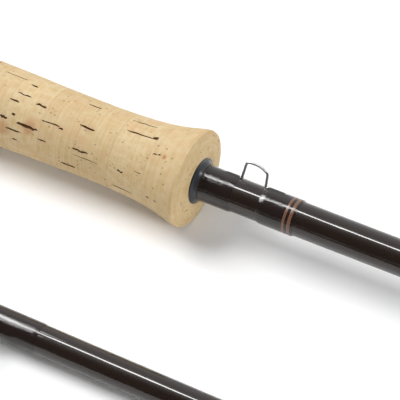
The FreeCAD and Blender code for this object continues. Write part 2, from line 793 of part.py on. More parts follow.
# ---- The drag ----
# Turning the knob drives the nut along the spindle's thread. It squeezes the spring washers,
# which pull the spindle down and clamp the rotor on the carbon disc.
kept("spindle", turned("spindle", [
    ("0", "1.9"),
    ("spindle_radius - 0.4", "1.9"),
    ("spindle_radius - 0.4", "web_base - 0.4"),
    ("spindle_radius", "web_base"),
    ("spindle_radius", "28.5"),
    ("spindle_neck", "28.5"),
    ("spindle_neck", "29.4"),
    ("spindle_radius - 0.1", "29.4"),
    ("spindle_radius - 0.1", "29.9"),
    ("2.2", "30.4"),
    ("0", "30.4"),
], "Z"), "reel")

kept("drag_disc", turned("drag_disc", [
    ("4.2", "web_top"), ("21.2", "web_top"), ("21.2", "web_top + 1.5"), ("4.2", "web_top + 1.5"),
], "Z"), "reel")

kept("wear_plate", turned("wear_plate", [
    ("4.2", "web_top + 1.55"), ("rotor_radius", "web_top + 1.55"),
    ("rotor_radius", "web_top + 2.35"), ("4.2", "web_top + 2.35"),
], "Z"), "reel")

kept("drag_rotor", turned("drag_rotor", [
    ("spindle_radius + running_gap", "web_top + 2.35"),
    ("rotor_radius", "web_top + 2.35"),
    ("rotor_radius", "web_top + 4.1"),
    ("sleeve_radius + 1", "web_top + 4.1"),
    ("sleeve_radius", "web_top + 4.8"),
    ("sleeve_radius", "sleeve_top"),
    ("spindle_radius + running_gap", "sleeve_top"),
], "Z"), "reel")

kept("drag_cover", turned("drag_cover", [
    ("sleeve_radius + 1.4", "housing_top - 0.3"), ("housing_bore", "housing_top - 0.3"),
    ("housing_bore", "housing_top + 0.3"), ("sleeve_radius + 1.4", "housing_top + 0.3"),
], "Z"), "reel")

kept("thrust_washer", turned("thrust_washer", [
    ("spindle_radius", "sleeve_top + 0.1"), ("5.6", "sleeve_top + 0.1"),
    ("5.6", "sleeve_top + 0.9"), ("spindle_radius", "sleeve_top + 0.9"),
], "Z"), "reel")

kept("retaining_ring", turned("retaining_ring", [
    ("spindle_radius", "sleeve_top + 0.95"), ("4.4", "sleeve_top + 0.95"),
    ("4.4", "sleeve_top + 1.4"), ("spindle_radius", "sleeve_top + 1.4"),
], "Z"), "reel")

washers = []
for index in range(3):
    low = f"3.95 + {index}"
    slope = ("0", "0.6") if index % 2 == 0 else ("0.6", "0")
    washers.append(turned(f"spring_washer_{index + 1}", [
        ("spindle_radius + 0.4", f"{low} + {slope[0]}"),
        ("spindle_radius + 4", f"{low} + {slope[1]}"),
        ("spindle_radius + 4", f"{low} + {slope[1]} + 0.36"),
        ("spindle_radius + 0.4", f"{low} + {slope[0]} + 0.36"),
    ], "Z"))
kept("drag_springs", group("drag_springs", washers), "reel")

nut_hex = doc.addObject("Part::Prism", "drag_nut_hex")
nut_hex.Polygon = 6
bind(nut_hex, Circumradius="8.6", Height="1.7", Placement__Base__z="2.1")
kept("drag_nut", boolean("Cut", "drag_nut", nut_hex, cylinder(
    "drag_nut_bore", "spindle_radius - 0.4 + running_gap", "4", ("0", "0", "1"))), "reel")

knob = turned("knob_disc", [
    ("0", "knob_base"),
    ("knob_radius - 1", "knob_base"),
    ("knob_radius", "knob_base + 1"),
    ("knob_radius", "knob_top - 1"),
    ("knob_radius - 1", "knob_top"),
    ("0", "knob_top"),
], "Z")
hex_pocket = doc.addObject("Part::Prism", "knob_pocket")
hex_pocket.Polygon = 6
bind(hex_pocket, Circumradius="9.0", Height="knob_top", Placement__Base__z="knob_base + 1")
scallops = [cylinder(f"knob_scallop_{index}", "2.6", "knob_top + 2", (x, y, "0"))
            for index, (x, y) in enumerate(ring_of(8, "knob_radius + 1.3", 22.5))]
kept("drag_knob", boolean("Cut", "drag_knob", knob,
                          joined("knob_cuts", [hex_pocket] + scallops)), "reel")


# ---- The spool ----
spool_turned = turned("spool_turned", [
    ("clutch_radius", "hub_base"),
    ("hub_radius", "hub_base"),
    ("hub_radius", "spool_front_base - 0.4"),
    ("arbor_radius - 1.4", "spool_front_base - 0.4"),
    ("arbor_radius - 1.4", "spool_rear_base"),
    ("spool_radius", "spool_rear_base"),
    ("spool_radius", "spool_rear_base + flange_thickness"),
    ("arbor_radius + 1", "spool_rear_base + flange_thickness"),
    ("arbor_radius", "spool_rear_base + flange_thickness + 1"),
    ("arbor_radius", "spool_front_base - 1"),
    ("arbor_radius + 1", "spool_front_base"),
    ("spool_radius", "spool_front_base"),
    ("spool_radius", "spool_front_top"),
    ("spindle_radius + 0.6", "spool_front_top"),
    ("spindle_radius + 0.6", "27"),
    ("bearing_radius", "27"),
    ("bearing_radius", "21.6"),
    ("clutch_radius", "21.6"),
], "Z", {7: "1", 9: "1"})
flange_ports = [cylinder(f"flange_port_{index}", "3.9", "3", (x, y, "spool_front_base - 1"))
                for index, (x, y) in enumerate(ring_of(10, "37", 18))]
web_ports = [cylinder(f"web_port_{index}", "4", "4", (x, y, "spool_front_base - 2"))
             for index, (x, y) in enumerate(ring_of(6, "17", 30))]
arbor_ports = []
for index in range(8):
    angle = 45 * index + 22.5
    port = cylinder(f"arbor_port_{index}", "3.4", "9")
    port.Placement = Placement(
        Rotation(Vector(0, 0, 1), angle).multVec(Vector(20, 0, 18.6)),
        Rotation(Vector(0, 0, 1), angle) * ALONG["X"])
    arbor_ports.append(port)
post_hole = cylinder("post_hole", "2", "3", ("handle_offset", "0", "spool_front_base - 1"))
kept("spool", boolean("Cut", "spool", spool_turned, group(
    "spool_cuts", flange_ports + web_ports + arbor_ports + [post_hole])), "reel")


def roller_ring(name, count, radius, roller_radius, low, high):
    return [cylinder(f"{name}_{index}", roller_radius, f"{high} - ({low})", (x, y, low))
            for index, (x, y) in enumerate(ring_of(count, radius))]


# The one-way clutch is pressed in the spool's hub and rides on the rotor's sleeve.
clutch_shell = turned("clutch_shell", [
    ("clutch_radius - 0.6", "hub_base + 0.1"), ("clutch_radius", "hub_base + 0.1"),
    ("clutch_radius", "sleeve_top - 0.1"), ("clutch_radius - 0.6", "sleeve_top - 0.1"),
], "Z")
rollers = roller_ring("clutch_roller", 10, "sleeve_radius + 1.02", "0.9",
                      "hub_base + 0.4", "sleeve_top - 0.4")
kept("one_way_clutch", group("one_way_clutch", [clutch_shell] + rollers), "reel")

inner_race = turned("inner_race", [
    ("spindle_radius + running_gap", "22.1"), ("spindle_radius + 1", "22.1"),
    ("spindle_radius + 1", "26.9"), ("spindle_radius + running_gap", "26.9"),
], "Z")
outer_race = turned("outer_race", [
    ("bearing_radius - 1", "22.1"), ("bearing_radius", "22.1"),
    ("bearing_radius", "26.9"), ("bearing_radius - 1", "26.9"),
], "Z")
balls = []
for index, (x, y) in enumerate(ring_of(9, "spindle_radius + 1.75")):
    ball = primitive("Sphere", f"bearing_ball_{index}", (x, y, "24.5"), Radius="0.72")
    balls.append(ball)
kept("spool_bearing", group("spool_bearing", [inner_race, outer_race] + balls), "reel")

# The latch is a sprung plate with a round eye. At rest the near edge of its keyhole grips the
# neck of the spindle under the head, and pushed in, the wide part of the keyhole frees it.
plate = box("latch_plate", "18.2", "4.8", "latch_thickness", ("-6.2", "-2.4", "latch_base"))
eye = cylinder("latch_eye", "4.6", "latch_thickness", ("latch_travel", "0", "latch_base"))
tab = box("latch_tab", "2.4", "5.4", "1.6", ("11.6", "-2.7", "latch_base"))
keyhole = joined("latch_keyhole", [
    cylinder("latch_neck", "spindle_neck + 0.1", "2", ("0", "0", "28")),
    cylinder("latch_release", "spindle_radius + 0.05", "2", ("latch_travel", "0", "28")),
])
kept("spool_latch", boolean("Cut", "spool_latch",
                            joined("latch_body", [plate, eye, tab]), keyhole), "reel")

spring = doc.addObject("Part::Helix", "latch_spring_path")
spring.Pitch = 0.5
spring.Height = 1.9
spring.Radius = 0.5
spring_wire = doc.addObject("Part::Circle", "latch_spring_wire")
spring_wire.Radius = 0.1
spring_wire.Placement = Placement(Vector(0.5, 0, 0), Rotation(Vector(1, 0, 0), 90))
spring_coil = doc.addObject("Part::Sweep", "latch_spring")
spring_coil.Sections = [spring_wire]
spring_coil.Spine = (spring, ["Edge1"])
spring_coil.Solid = True
spring_coil.Frenet = True
spring_seat = group("latch_spring_seat", [spring_coil])
spring_coil.Placement = Placement(Vector(-8.35, 0, 28.95), ALONG["X"])
kept("latch_spring", spring_seat, "reel")
spring_coil.Label = "latch_spring_coil"

cap_turned = turned("cap_turned", [
    ("0", "30.7"), ("8.6", "30.7"), ("8.6", "spool_front_top"), ("hub_radius", "spool_front_top"),
    ("hub_radius", "30.6"), ("9", "31.2"), ("0", "31.2"),
], "Z")
notch = box("cap_notch", "6", "5.4", "1.6", ("6", "-2.7", "28"))
kept("spool_cap", boolean("Cut", "spool_cap", cap_turned, notch), "reel")


# ---- The handle ----
def on_spool_face(item, x):
    """Moves a turned piece out from the reel's axle before it is placed."""
    bind(item, Placement__Base__x=x)
    return group(f"{item.Name}_seat", [item])


post = turned("handle_post_turned", [
    ("0", "spool_front_base"),
    ("2", "spool_front_base"),
    ("2", "spool_front_top"),
    ("3.6", "spool_front_top"),
    ("3.6", "spool_front_top + 0.7"),
    ("2.2", "spool_front_top + 0.7"),
    ("2.2", "handle_top - 2.5"),
    ("3.4", "handle_top - 2.5"),
    ("3.4", "handle_top - 1"),
    ("0", "handle_top - 1"),
], "Z")
kept("handle_post", on_spool_face(post, "handle_offset"), "reel")

grip_knob = turned("handle_knob_turned", [
    ("2.2 + running_gap", "spool_front_top + 0.9"),
    ("5.4", "spool_front_top + 0.9"),
    ("6.2", "spool_front_top + 2"),
    ("5.4", "handle_top - 11"),
    ("6.8", "handle_top - 3"),
    ("5.6", "handle_top"),
    ("3.7", "handle_top"),
    ("3.7", "handle_top - 2.7"),
    ("2.2 + running_gap", "handle_top - 2.7"),
], "Z", {2: "40", 3: "30"})
kept("handle_knob", on_spool_face(grip_knob, "handle_offset"), "reel")

weight = turned("counterweight_turned", [
    ("0", "spool_front_top"), ("5", "spool_front_top"), ("5", "spool_front_top + 1.8"),
    ("4.2", "spool_front_top + 2.6"), ("0", "spool_front_top + 2.6"),
], "Z")
kept("counterweight", on_spool_face(weight, "-handle_offset"), "reel")


# ---- Checks and export ----
doc.recompute()
for item in doc.Objects:
    if "Invalid" in item.State or "Error" in item.State:
        raise RuntimeError(f"{item.Name} failed: {item.State}")
for label, piece in pieces.items():
    if piece.Shape.isNull() or not piece.Shape.isValid() or not piece.Shape.Solids:
        raise RuntimeError(f"{label} has no valid solid")

os.makedirs("parts", exist_ok=True)
for label, piece in pieces.items():
    piece.Shape.exportStep(f"parts/{label}.step")
print(f"{len(pieces)} pieces written")
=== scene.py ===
import json
import math
import random

import bmesh
import bpy
from mathutils import Matrix, Vector, noise


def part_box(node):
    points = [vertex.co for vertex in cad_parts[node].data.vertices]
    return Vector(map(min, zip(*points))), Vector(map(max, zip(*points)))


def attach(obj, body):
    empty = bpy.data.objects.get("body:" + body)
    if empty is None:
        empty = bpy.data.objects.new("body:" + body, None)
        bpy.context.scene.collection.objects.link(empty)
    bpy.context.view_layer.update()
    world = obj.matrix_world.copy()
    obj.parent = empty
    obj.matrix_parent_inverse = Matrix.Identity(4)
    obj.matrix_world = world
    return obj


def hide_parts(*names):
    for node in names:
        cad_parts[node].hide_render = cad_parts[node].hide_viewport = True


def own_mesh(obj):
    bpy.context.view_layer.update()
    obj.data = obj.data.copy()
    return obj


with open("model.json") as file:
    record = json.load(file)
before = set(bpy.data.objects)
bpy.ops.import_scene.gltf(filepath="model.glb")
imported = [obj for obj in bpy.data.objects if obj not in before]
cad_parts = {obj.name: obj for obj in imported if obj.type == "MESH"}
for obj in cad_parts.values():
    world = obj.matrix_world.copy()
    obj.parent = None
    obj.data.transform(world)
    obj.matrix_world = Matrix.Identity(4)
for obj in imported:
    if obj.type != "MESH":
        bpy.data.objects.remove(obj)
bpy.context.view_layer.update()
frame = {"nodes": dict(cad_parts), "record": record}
nodes = frame["nodes"]

# ---- Camera, table and light ----
# A close view of the front of the grip and the hook keeper, looking down across the rod.
# The table is white. A long strip overhead draws the highlight on the varnish, a larger lamp
# lights the top of the grip, and two weak fills keep the near shadows open.
MM = 0.001
HANDLE = "handle_and_frame"
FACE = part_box("cork_grip")[1].x  # the middle of the grip's domed front face
FACE_DOME = 1.9 * MM
GRIP_FRONT = FACE - FACE_DOME
GRIP_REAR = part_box("cork_grip")[0].x


def middle(node):
    low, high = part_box(node)
    return (low + high) / 2


BUTT_AXIS = middle("butt_blank")
CLIP_NEAR = 0.01
CLIP_FAR = 20
TABLE_SIZE = 4
VIEW_TURN = math.radians(29.419)
VIEW_LIFT = math.radians(43.586)
VIEW_DISTANCE = 0.6614
VIEW_LENS = 198
AIM_RIGHT = 1.57 * MM
AIM_DOWN = 6.42 * MM

back = Vector((math.sin(VIEW_TURN) * math.cos(VIEW_LIFT),
               -math.cos(VIEW_TURN) * math.cos(VIEW_LIFT), math.sin(VIEW_LIFT)))
right = Vector((math.cos(VIEW_TURN), math.sin(VIEW_TURN), 0))
upward = back.cross(right)
grip_face = Vector((GRIP_FRONT, BUTT_AXIS.y, BUTT_AXIS.z))
eye = grip_face + right * AIM_RIGHT - upward * AIM_DOWN + back * VIEW_DISTANCE

camera_data = bpy.data.cameras.new("camera")
camera_data.lens = VIEW_LENS
camera_data.clip_start = CLIP_NEAR
camera_data.clip_end = CLIP_FAR
camera = bpy.data.objects.new("camera", camera_data)
camera.matrix_world = Matrix.Translation(eye) @ Matrix((right, upward, back)).transposed().to_4x4()
bpy.context.scene.collection.objects.link(camera)
bpy.context.scene.camera = camera


def node(tree, kind, settings=None, **inputs):
    """A shader node. Its settings are attributes, and a socket given as a value is linked."""
    made = tree.nodes.new("ShaderNode" + kind)
    for name, value in (settings or {}).items():
        setattr(made, name, value)
    for name, value in inputs.items():
        plug(tree, made.inputs[name.replace("_", " ")], value)
    return made


def plug(tree, socket, value):
    if isinstance(value, bpy.types.NodeSocket):
        tree.links.new(value, socket)
    else:
        socket.default_value = value


def finish(name, **surface):
    """A new material with one principled shader, and the tree to add its pattern to."""
    made = bpy.data.materials.new(name)
    made.use_nodes = True
    shader = made.node_tree.nodes["Principled BSDF"]
    for socket, value in surface.items():
        shader.inputs[socket.replace("_", " ")].default_value = value
    return made, made.node_tree, shader


def math_of(tree, operation, *values):
    made = tree.nodes.new("ShaderNodeMath")
    made.operation = operation
    for socket, value in zip(made.inputs, values):
        plug(tree, socket, value)
    return made.outputs[0]


def blend_of(tree, factor, first, second):
    """A colour mixed between two others."""
    made = tree.nodes.new("ShaderNodeMix")
    made.data_type = "RGBA"
    made.clamp_factor = True
    plug(tree, made.inputs[0], factor)
    plug(tree, made.inputs[6], first)
    plug(tree, made.inputs[7], second)
    return made.outputs[2]


def ramp_of(tree, value, low, high, low_to=0.0, high_to=1.0):
    """A smooth step from one level to another as the value goes from low to high."""
    made = node(tree, "MapRange", {"interpolation_type": "SMOOTHSTEP"},
                Value=value, From_Min=low, From_Max=high, To_Min=low_to, To_Max=high_to)
    return made.outputs[0]


def bump_of(tree, height, depth, strength=1.0, under=None):
    """A bump of the given depth in metres, laid over another normal."""
    made = node(tree, "Bump", Height=height, Distance=depth, Strength=strength)
    if under is not None:
        plug(tree, made.inputs["Normal"], under)
    return made.outputs[0]


def mottle(tree, shader, scale, detail, levels, dark, light):
    """A cloudy mix of two tones as the base colour. It gives back the cloud's own value."""
    cloud = node(tree, "TexNoise", Scale=scale, Detail=detail).outputs[0]
    plug(tree, shader.inputs["Base Color"], blend_of(
        tree, ramp_of(tree, cloud, *levels), dark + (1,), light + (1,)))
    return cloud


def link_object(name, mesh):
    piece = bpy.data.objects.new(name, mesh)
    bpy.context.scene.collection.objects.link(piece)
    return piece


table_mat, tree, shader = finish("table_white", Base_Color=(0.93, 0.93, 0.93, 1), Roughness=0.6)
grain = node(tree, "TexNoise", Scale=30, Detail=3)
plug(tree, shader.inputs["Base Color"],
     blend_of(tree, grain.outputs[0], (0.92, 0.92, 0.92, 1), (0.94, 0.94, 0.94, 1)))
table_mesh = bpy.data.meshes.new("table")
bm = bmesh.new()
bmesh.ops.create_grid(bm, x_segments=1, y_segments=1, size=TABLE_SIZE)
bm.to_mesh(table_mesh)
bm.free()
table_mesh.materials.append(table_mat)
link_object("table", table_mesh)

# The room is bright behind the rod and dim on the near side.
world = bpy.data.worlds.new("room")
world.use_nodes = True
tree = world.node_tree
way = node(tree, "SeparateXYZ", Vector=node(tree, "TexCoord").outputs["Generated"])
plug(tree, tree.nodes["Background"].inputs["Color"], blend_of(
    tree, ramp_of(tree, way.outputs["Y"], -0.15, 0.75), (0.12, 0.122, 0.125, 1),
    (0.88, 0.885, 0.90, 1)))
bpy.context.scene.world = world
bpy.context.scene.view_settings.view_transform = "Standard"


def area_light(name, direction, distance, length, width, power, unseen_by=None):
    """A flat light aimed at the grip, its long side along the rod.

    One that plain surfaces don't see makes only highlights, and hangs level with the rod.
    """
    lamp = bpy.data.lights.new(name, "AREA")
    lamp.shape = "RECTANGLE"
    lamp.size = length
    lamp.size_y = width
    lamp.energy = power
    away = Vector(direction).normalized()
    facing = away
    if unseen_by == "diffuse":
        facing = Vector((0, away.y, away.z)).normalized()
    side = (Vector((1, 0, 0)) - facing * facing.x).normalized()
    turn = Matrix((side, facing.cross(side), facing)).transposed().to_4x4()
    holder = bpy.data.objects.new(name, lamp)
    holder.matrix_world = Matrix.Translation(grip_face + away * distance) @ turn
    holder.visible_glossy = unseen_by != "glossy"
    holder.visible_diffuse = unseen_by != "diffuse"
    bpy.context.scene.collection.objects.link(holder)


area_light("strip_overhead", (-0.36, -0.02, 0.93), 1.3, 2.6, 0.15, 24, unseen_by="diffuse")
area_light("lamp_overhead", (-0.59, -0.05, 0.79), 1.8, 0.8, 1.2, 31)
area_light("fill_from_tip", (0.93, -0.25, 0.30), 1.5, 1.0, 0.6, 12, unseen_by="glossy")
area_light("fill_near", (0.10, -0.88, 0.46), 1.5, 1.6, 0.8, 2.5, unseen_by="glossy")


# ---- Blanks ----
# Four tapered tubes of carbon fibre, sanded, tinted dark brown and coated with clear varnish.
# Sections 2 to 4 slide over the thin end of the section before them.
SECTIONS = {"butt_blank": HANDLE, "blank_2": "section_2",
            "blank_3": "section_3", "blank_4": "section_4"}


def lathe(bm, outline, axis, sides):
    """Turns an outline about a rod axis. The outline is (x, radius) in order."""
    ring = [bm.verts.new((x, axis.y, axis.z + radius)) for x, radius in outline]
    edges = [bm.edges.new(pair) for pair in zip(ring, ring[1:] + ring[:1])]
    bmesh.ops.spin(bm, geom=ring + edges, cent=axis, axis=(1, 0, 0), angle=2 * math.pi,
                   steps=sides, use_merge=True)


def as_piece(name, bm, materials, body, replaced, smooth_below=35):
    """A finished piece from a bmesh: faces outwards, sharp edges kept, riding on its body."""
    bmesh.ops.remove_doubles(bm, verts=bm.verts, dist=1e-7)
    bmesh.ops.recalc_face_normals(bm, faces=bm.faces)
    mesh = bpy.data.meshes.new(name)
    bm.to_mesh(mesh)
    bm.free()
    for material in materials:
        mesh.materials.append(material)
    mesh.shade_smooth()
    mesh.set_sharp_from_angle(angle=math.radians(smooth_below))
    piece = link_object(name, mesh)
    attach(piece, body)
    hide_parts(*replaced)
    return piece


def end_radius(name, at_thin_end):
    """The outer radius of a blank's end, read from its own mesh."""
    axis = middle(name)
    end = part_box(name)[1 if at_thin_end else 0].x
    return max(math.hypot(v.co.y - axis.y, v.co.z - axis.z)
               for v in nodes[name].data.vertices if abs(v.co.x - end) < 0.01 * MM)


def blank_radius(name, x):
    low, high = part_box(name)
    share = (x - low.x) / (high.x - low.x)
    return BLANK_ENDS[name][0] * (1 - share) + BLANK_ENDS[name][1] * share


BLANK_ENDS = {name: (end_radius(name, False), end_radius(name, True)) for name in SECTIONS}


def round_it(tree, axis):
    """Where a point is on a rod section: its x, its turn from straight up, and its radius."""
    place = node(tree, "SeparateXYZ", Vector=node(tree, "TexCoord").outputs["Object"])
    across = math_of(tree, "SUBTRACT", place.outputs["Y"], axis.y)
    up = math_of(tree, "SUBTRACT", place.outputs["Z"], axis.z)
    turn = math_of(tree, "ARCTAN2", across, up)
    squares = math_of(tree, "ADD", math_of(tree, "MULTIPLY", across, across),
                      math_of(tree, "MULTIPLY", up, up))
    return place.outputs["X"], turn, math_of(tree, "SQRT", squares)


def carbon_finish(name, axis):
    """Tinted carbon under varnish: the sanding shows as faint bands round the blank."""
    made, tree, shader = finish(name, Roughness=0.34, Coat_Weight=1.0, Coat_Roughness=0.02,
                                Coat_IOR=1.52, Specular_IOR_Level=0.12)
    along, turn, _ = round_it(tree, axis)
    bands = node(tree, "TexNoise", {"noise_dimensions": "2D"}, Detail=4, Vector=node(
        tree, "CombineXYZ", X=math_of(tree, "MULTIPLY", along, 1400),
        Y=math_of(tree, "MULTIPLY", turn, 1.5)).outputs[0])
    fibres = node(tree, "TexNoise", {"noise_dimensions": "2D"}, Detail=2, Vector=node(
        tree, "CombineXYZ", X=math_of(tree, "MULTIPLY", along, 90),
        Y=math_of(tree, "MULTIPLY", turn, 40)).outputs[0])
    tone = blend_of(tree, ramp_of(tree, bands.outputs[0], 0.3, 0.75),
                    (0.005, 0.0022, 0.0010, 1), (0.018, 0.0075, 0.0028, 1))
    tone = blend_of(tree, ramp_of(tree, fibres.outputs[0], 0.45, 0.8, 0, 0.5), tone,
                    (0.030, 0.012, 0.004, 1))
    plug(tree, shader.inputs["Base Color"], tone)
    plug(tree, shader.inputs["Normal"], bump_of(tree, bands.outputs[0], 0.02 * MM, 0.5))
    plug(tree, shader.inputs["Coat Normal"], bump_of(tree, node(
        tree, "TexNoise", Scale=45, Detail=1).outputs[0], 0.03 * MM, 0.15))
    return made


BLANK_WALL = 0.75 * MM
FERRULE = 52 * MM
RIM = 0.15 * MM
blank_mats = {}
for name, body in SECTIONS.items():
    low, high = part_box(name)
    axis = middle(name)
    thick, thin = BLANK_ENDS[name]
    wall = min(BLANK_WALL, thin * 0.4)
    socket = thick - wall if name == "butt_blank" else thick - 0.55 * MM
    outline = [(low.x, socket), (low.x, thick - RIM), (low.x + RIM, thick)]
    outline += [(high.x - RIM, thin), (high.x, thin - RIM), (high.x, thin - wall)]
    outline += [(low.x + FERRULE, blank_radius(name, low.x + FERRULE) - wall - 0.2 * MM)]
    bm = bmesh.new()
    lathe(bm, outline, axis, 72)
    blank_mats[name] = carbon_finish(f"{name}_carbon", axis)
    as_piece(f"{name}_tube", bm, [blank_mats[name]], body, [name])


# ---- Cork grip ----
# Glued cork rings, turned to a full-wells shape and sanded. The dark pits run along
# the rod, because every ring is cut from the bark the same way round.
GRIP_SHAPE = [  # distance behind the front face and radius, in millimetres
    (-0.5, 15.3), (0.2, 15.5), (1.2, 15.35), (3.0, 14.95), (6.5, 14.05), (10.5, 13.3),
    (14.5, 12.8), (19, 12.4), (27, 12.05), (36, 12.0), (52, 12.2), (64, 12.5), (92, 12.75),
    (122, 12.7), (146, 12.9), (160, 13.5), (169, 14.25), (173.5, 14.4), (176.6, 13.8),
    (177.8, 12.9),
]
CORK_RING = 12.45 * MM
FIRST_RING = 11.1 * MM
MEAN_RADIUS = 12.5 * MM


def smooth_through(points, step):
    """Points every step along a smooth line through the given ones."""
    for index in range(len(points) - 1):
        before = points[max(index - 1, 0)]
        start, end = points[index], points[index + 1]
        after = points[min(index + 2, len(points) - 1)]
        count = max(1, round((end[0] - start[0]) / step))
        for part in range(count):
            t = part / count
            yield tuple(0.5 * (2 * b + (c - a) * t + (2 * a - 5 * b + 4 * c - d) * t * t
                               + (3 * b - a - 3 * c + d) * t ** 3)
                        for a, b, c, d in zip(before, start, end, after))
    yield points[-1]


def leaned(axis, turn, points):
    """Points given as (x, side, height) about a rod axis, turned about it to the lean."""
    for x, side, height in points:
        yield Vector((x, axis.y + height * math.sin(turn) + side * math.cos(turn),
                      axis.z + height * math.cos(turn) - side * math.sin(turn)))


def cork_finish(name, axis, front, stains=()):
    """Blond sanded cork: ring tones, turning marks, hairline cracks and small dark specks."""
    made, tree, shader = finish(name, Roughness=0.72, Specular_IOR_Level=0.28)
    along, turn, radius = round_it(tree, axis)
    behind = math_of(tree, "MAXIMUM", math_of(tree, "SUBTRACT", front, along), 0.0)
    around = math_of(tree, "MULTIPLY", turn, MEAN_RADIUS)
    rings_back = math_of(tree, "DIVIDE", math_of(
        tree, "ADD", behind, CORK_RING - FIRST_RING), CORK_RING)
    ring = math_of(tree, "FLOOR", rings_back)
    tone_of_ring = node(tree, "TexWhiteNoise", {"noise_dimensions": "1D"}, W=ring)
    in_ring = math_of(tree, "FRACT", rings_back)
    seam = math_of(tree, "ABSOLUTE", math_of(tree, "SUBTRACT", math_of(
        tree, "FRACT", math_of(tree, "ADD", in_ring, 0.5)), 0.5))

    def pattern(per_along, per_around, per_radius, detail, rough=0.5):
        place = node(tree, "CombineXYZ", X=math_of(tree, "MULTIPLY", along, per_along),
                     Y=math_of(tree, "MULTIPLY", around, per_around),
                     Z=math_of(tree, "MULTIPLY", radius, per_radius))
        return node(tree, "TexNoise", {"noise_dimensions": "4D"}, Vector=place.outputs[0],
                    W=math_of(tree, "MULTIPLY", ring, 3.7), Detail=detail,
                    Roughness=rough).outputs[0]

    cloudy = pattern(70, 110, 110, 3)
    marks = pattern(2100, 16, 16, 3, 0.6)
    wide_marks = pattern(420, 10, 10, 2)
    grain = pattern(1500, 1700, 1700, 3, 0.65)
    hair = pattern(130, 1500, 700, 2)
    patch = pattern(95, 120, 120, 1)
    tone = blend_of(tree, ramp_of(tree, cloudy, 0.3, 0.72),
                    (0.66, 0.53, 0.315, 1), (0.58, 0.415, 0.20, 1))
    for value, levels, colour in (
            (tone_of_ring.outputs[0], (0.0, 1.0, 0.0, 0.35), (0.50, 0.345, 0.16, 1)),
            (wide_marks, (0.35, 0.7, 0.0, 0.4), (0.75, 0.58, 0.34, 1)),
            (pattern(36, 60, 60, 1), (0.5, 0.72, 0.0, 0.35), (0.62, 0.375, 0.20, 1)),
            (marks, (0.45, 0.75, 0.0, 0.55), (0.45, 0.265, 0.12, 1)),
            (grain, (0.55, 0.85, 0.0, 0.45), (0.42, 0.24, 0.105, 1))):
        tone = blend_of(tree, ramp_of(tree, value, *levels), tone, colour)
    seam_line = math_of(tree, "MULTIPLY", ramp_of(tree, seam, 0.0, 0.012, 0.5, 0.0),
                        ramp_of(tree, patch, 0.3, 0.6, 0.2, 1.0))
    tone = blend_of(tree, seam_line, tone, (0.36, 0.20, 0.09, 1))
    cracks = math_of(tree, "MULTIPLY", ramp_of(tree, hair, 0.66, 0.72), math_of(
        tree, "MULTIPLY", ramp_of(tree, patch, 0.50, 0.58), ramp_of(tree, behind, 0.5 * MM, MM)))
    tone = blend_of(tree, math_of(tree, "MULTIPLY", cracks, 0.75), tone,
                    (0.22, 0.10, 0.04, 1))
    dots = node(tree, "TexVoronoi", {"voronoi_dimensions": "3D"}, Scale=1.0, Randomness=1.0,
                Vector=node(tree, "CombineXYZ", X=math_of(tree, "MULTIPLY", along, 620),
                            Y=math_of(tree, "MULTIPLY", around, 900),
                            Z=math_of(tree, "MULTIPLY", radius, 900)).outputs[0])
    chance = node(tree, "SeparateColor", Color=dots.outputs["Color"])
    busy = ramp_of(tree, tone_of_ring.outputs[0], 0.2, 0.95, 0.93, 0.72)
    speck = math_of(tree, "MULTIPLY", ramp_of(tree, dots.outputs["Distance"], 0.16, 0.30, 1, 0),
                    math_of(tree, "GREATER_THAN", chance.outputs[0], busy))
    tone = blend_of(tree, math_of(tree, "MULTIPLY", speck, 0.6), tone, (0.20, 0.10, 0.045, 1))
    dust = node(tree, "TexVoronoi", {"voronoi_dimensions": "3D"}, Scale=1500, Randomness=1.0,
                Vector=node(tree, "TexCoord").outputs["Object"])
    pick = node(tree, "SeparateColor", Color=dust.outputs["Color"])
    dusty = math_of(tree, "MULTIPLY", math_of(tree, "COMPARE", ring, 1.0, 0.5),
                    ramp_of(tree, turn, -0.7, -0.3, 1, 0))
    fine_speck = math_of(tree, "MULTIPLY", math_of(
        tree, "MULTIPLY", ramp_of(tree, dust.outputs["Distance"], 0.15, 0.34, 1, 0),
        math_of(tree, "GREATER_THAN", pick.outputs[0], 0.6)), math_of(
            tree, "MULTIPLY", dusty, ramp_of(tree, cloudy, 0.35, 0.6)))
    tone = blend_of(tree, math_of(tree, "MULTIPLY", fine_speck, 0.6), tone,
                    (0.16, 0.11, 0.05, 1))
    on_face = ramp_of(tree, along, front - 0.1 * MM, front + 0.2 * MM)
    for point, size, strength, colour in stains:
        flat = node(tree, "VectorMath", {"operation": "MULTIPLY"})
        plug(tree, flat.inputs[0], node(tree, "TexCoord").outputs["Object"])
        plug(tree, flat.inputs[1], (1, 1, 1) if point.x else (0, 1, 1))
        reach = node(tree, "VectorMath", {"operation": "DISTANCE"})
        plug(tree, reach.inputs[0], flat.outputs[0])
        plug(tree, reach.inputs[1], tuple(point))
        ragged = math_of(tree, "ADD", reach.outputs["Value"], math_of(
            tree, "MULTIPLY", math_of(tree, "SUBTRACT", grain, 0.5), size))
        spot = ramp_of(tree, ragged, 0.3 * size, size, strength, 0)
        if not point.x:
            spot = math_of(tree, "MULTIPLY", spot, on_face)
        tone = blend_of(tree, spot, tone, colour)
    plug(tree, shader.inputs["Base Color"], tone)
    relief = bump_of(tree, math_of(tree, "ADD", cracks, speck), 0.18 * MM, -0.8)
    relief = bump_of(tree, marks, 0.03 * MM, 0.5, relief)
    plug(tree, shader.inputs["Normal"], bump_of(tree, grain, 0.05 * MM, 0.5, relief))
    return made


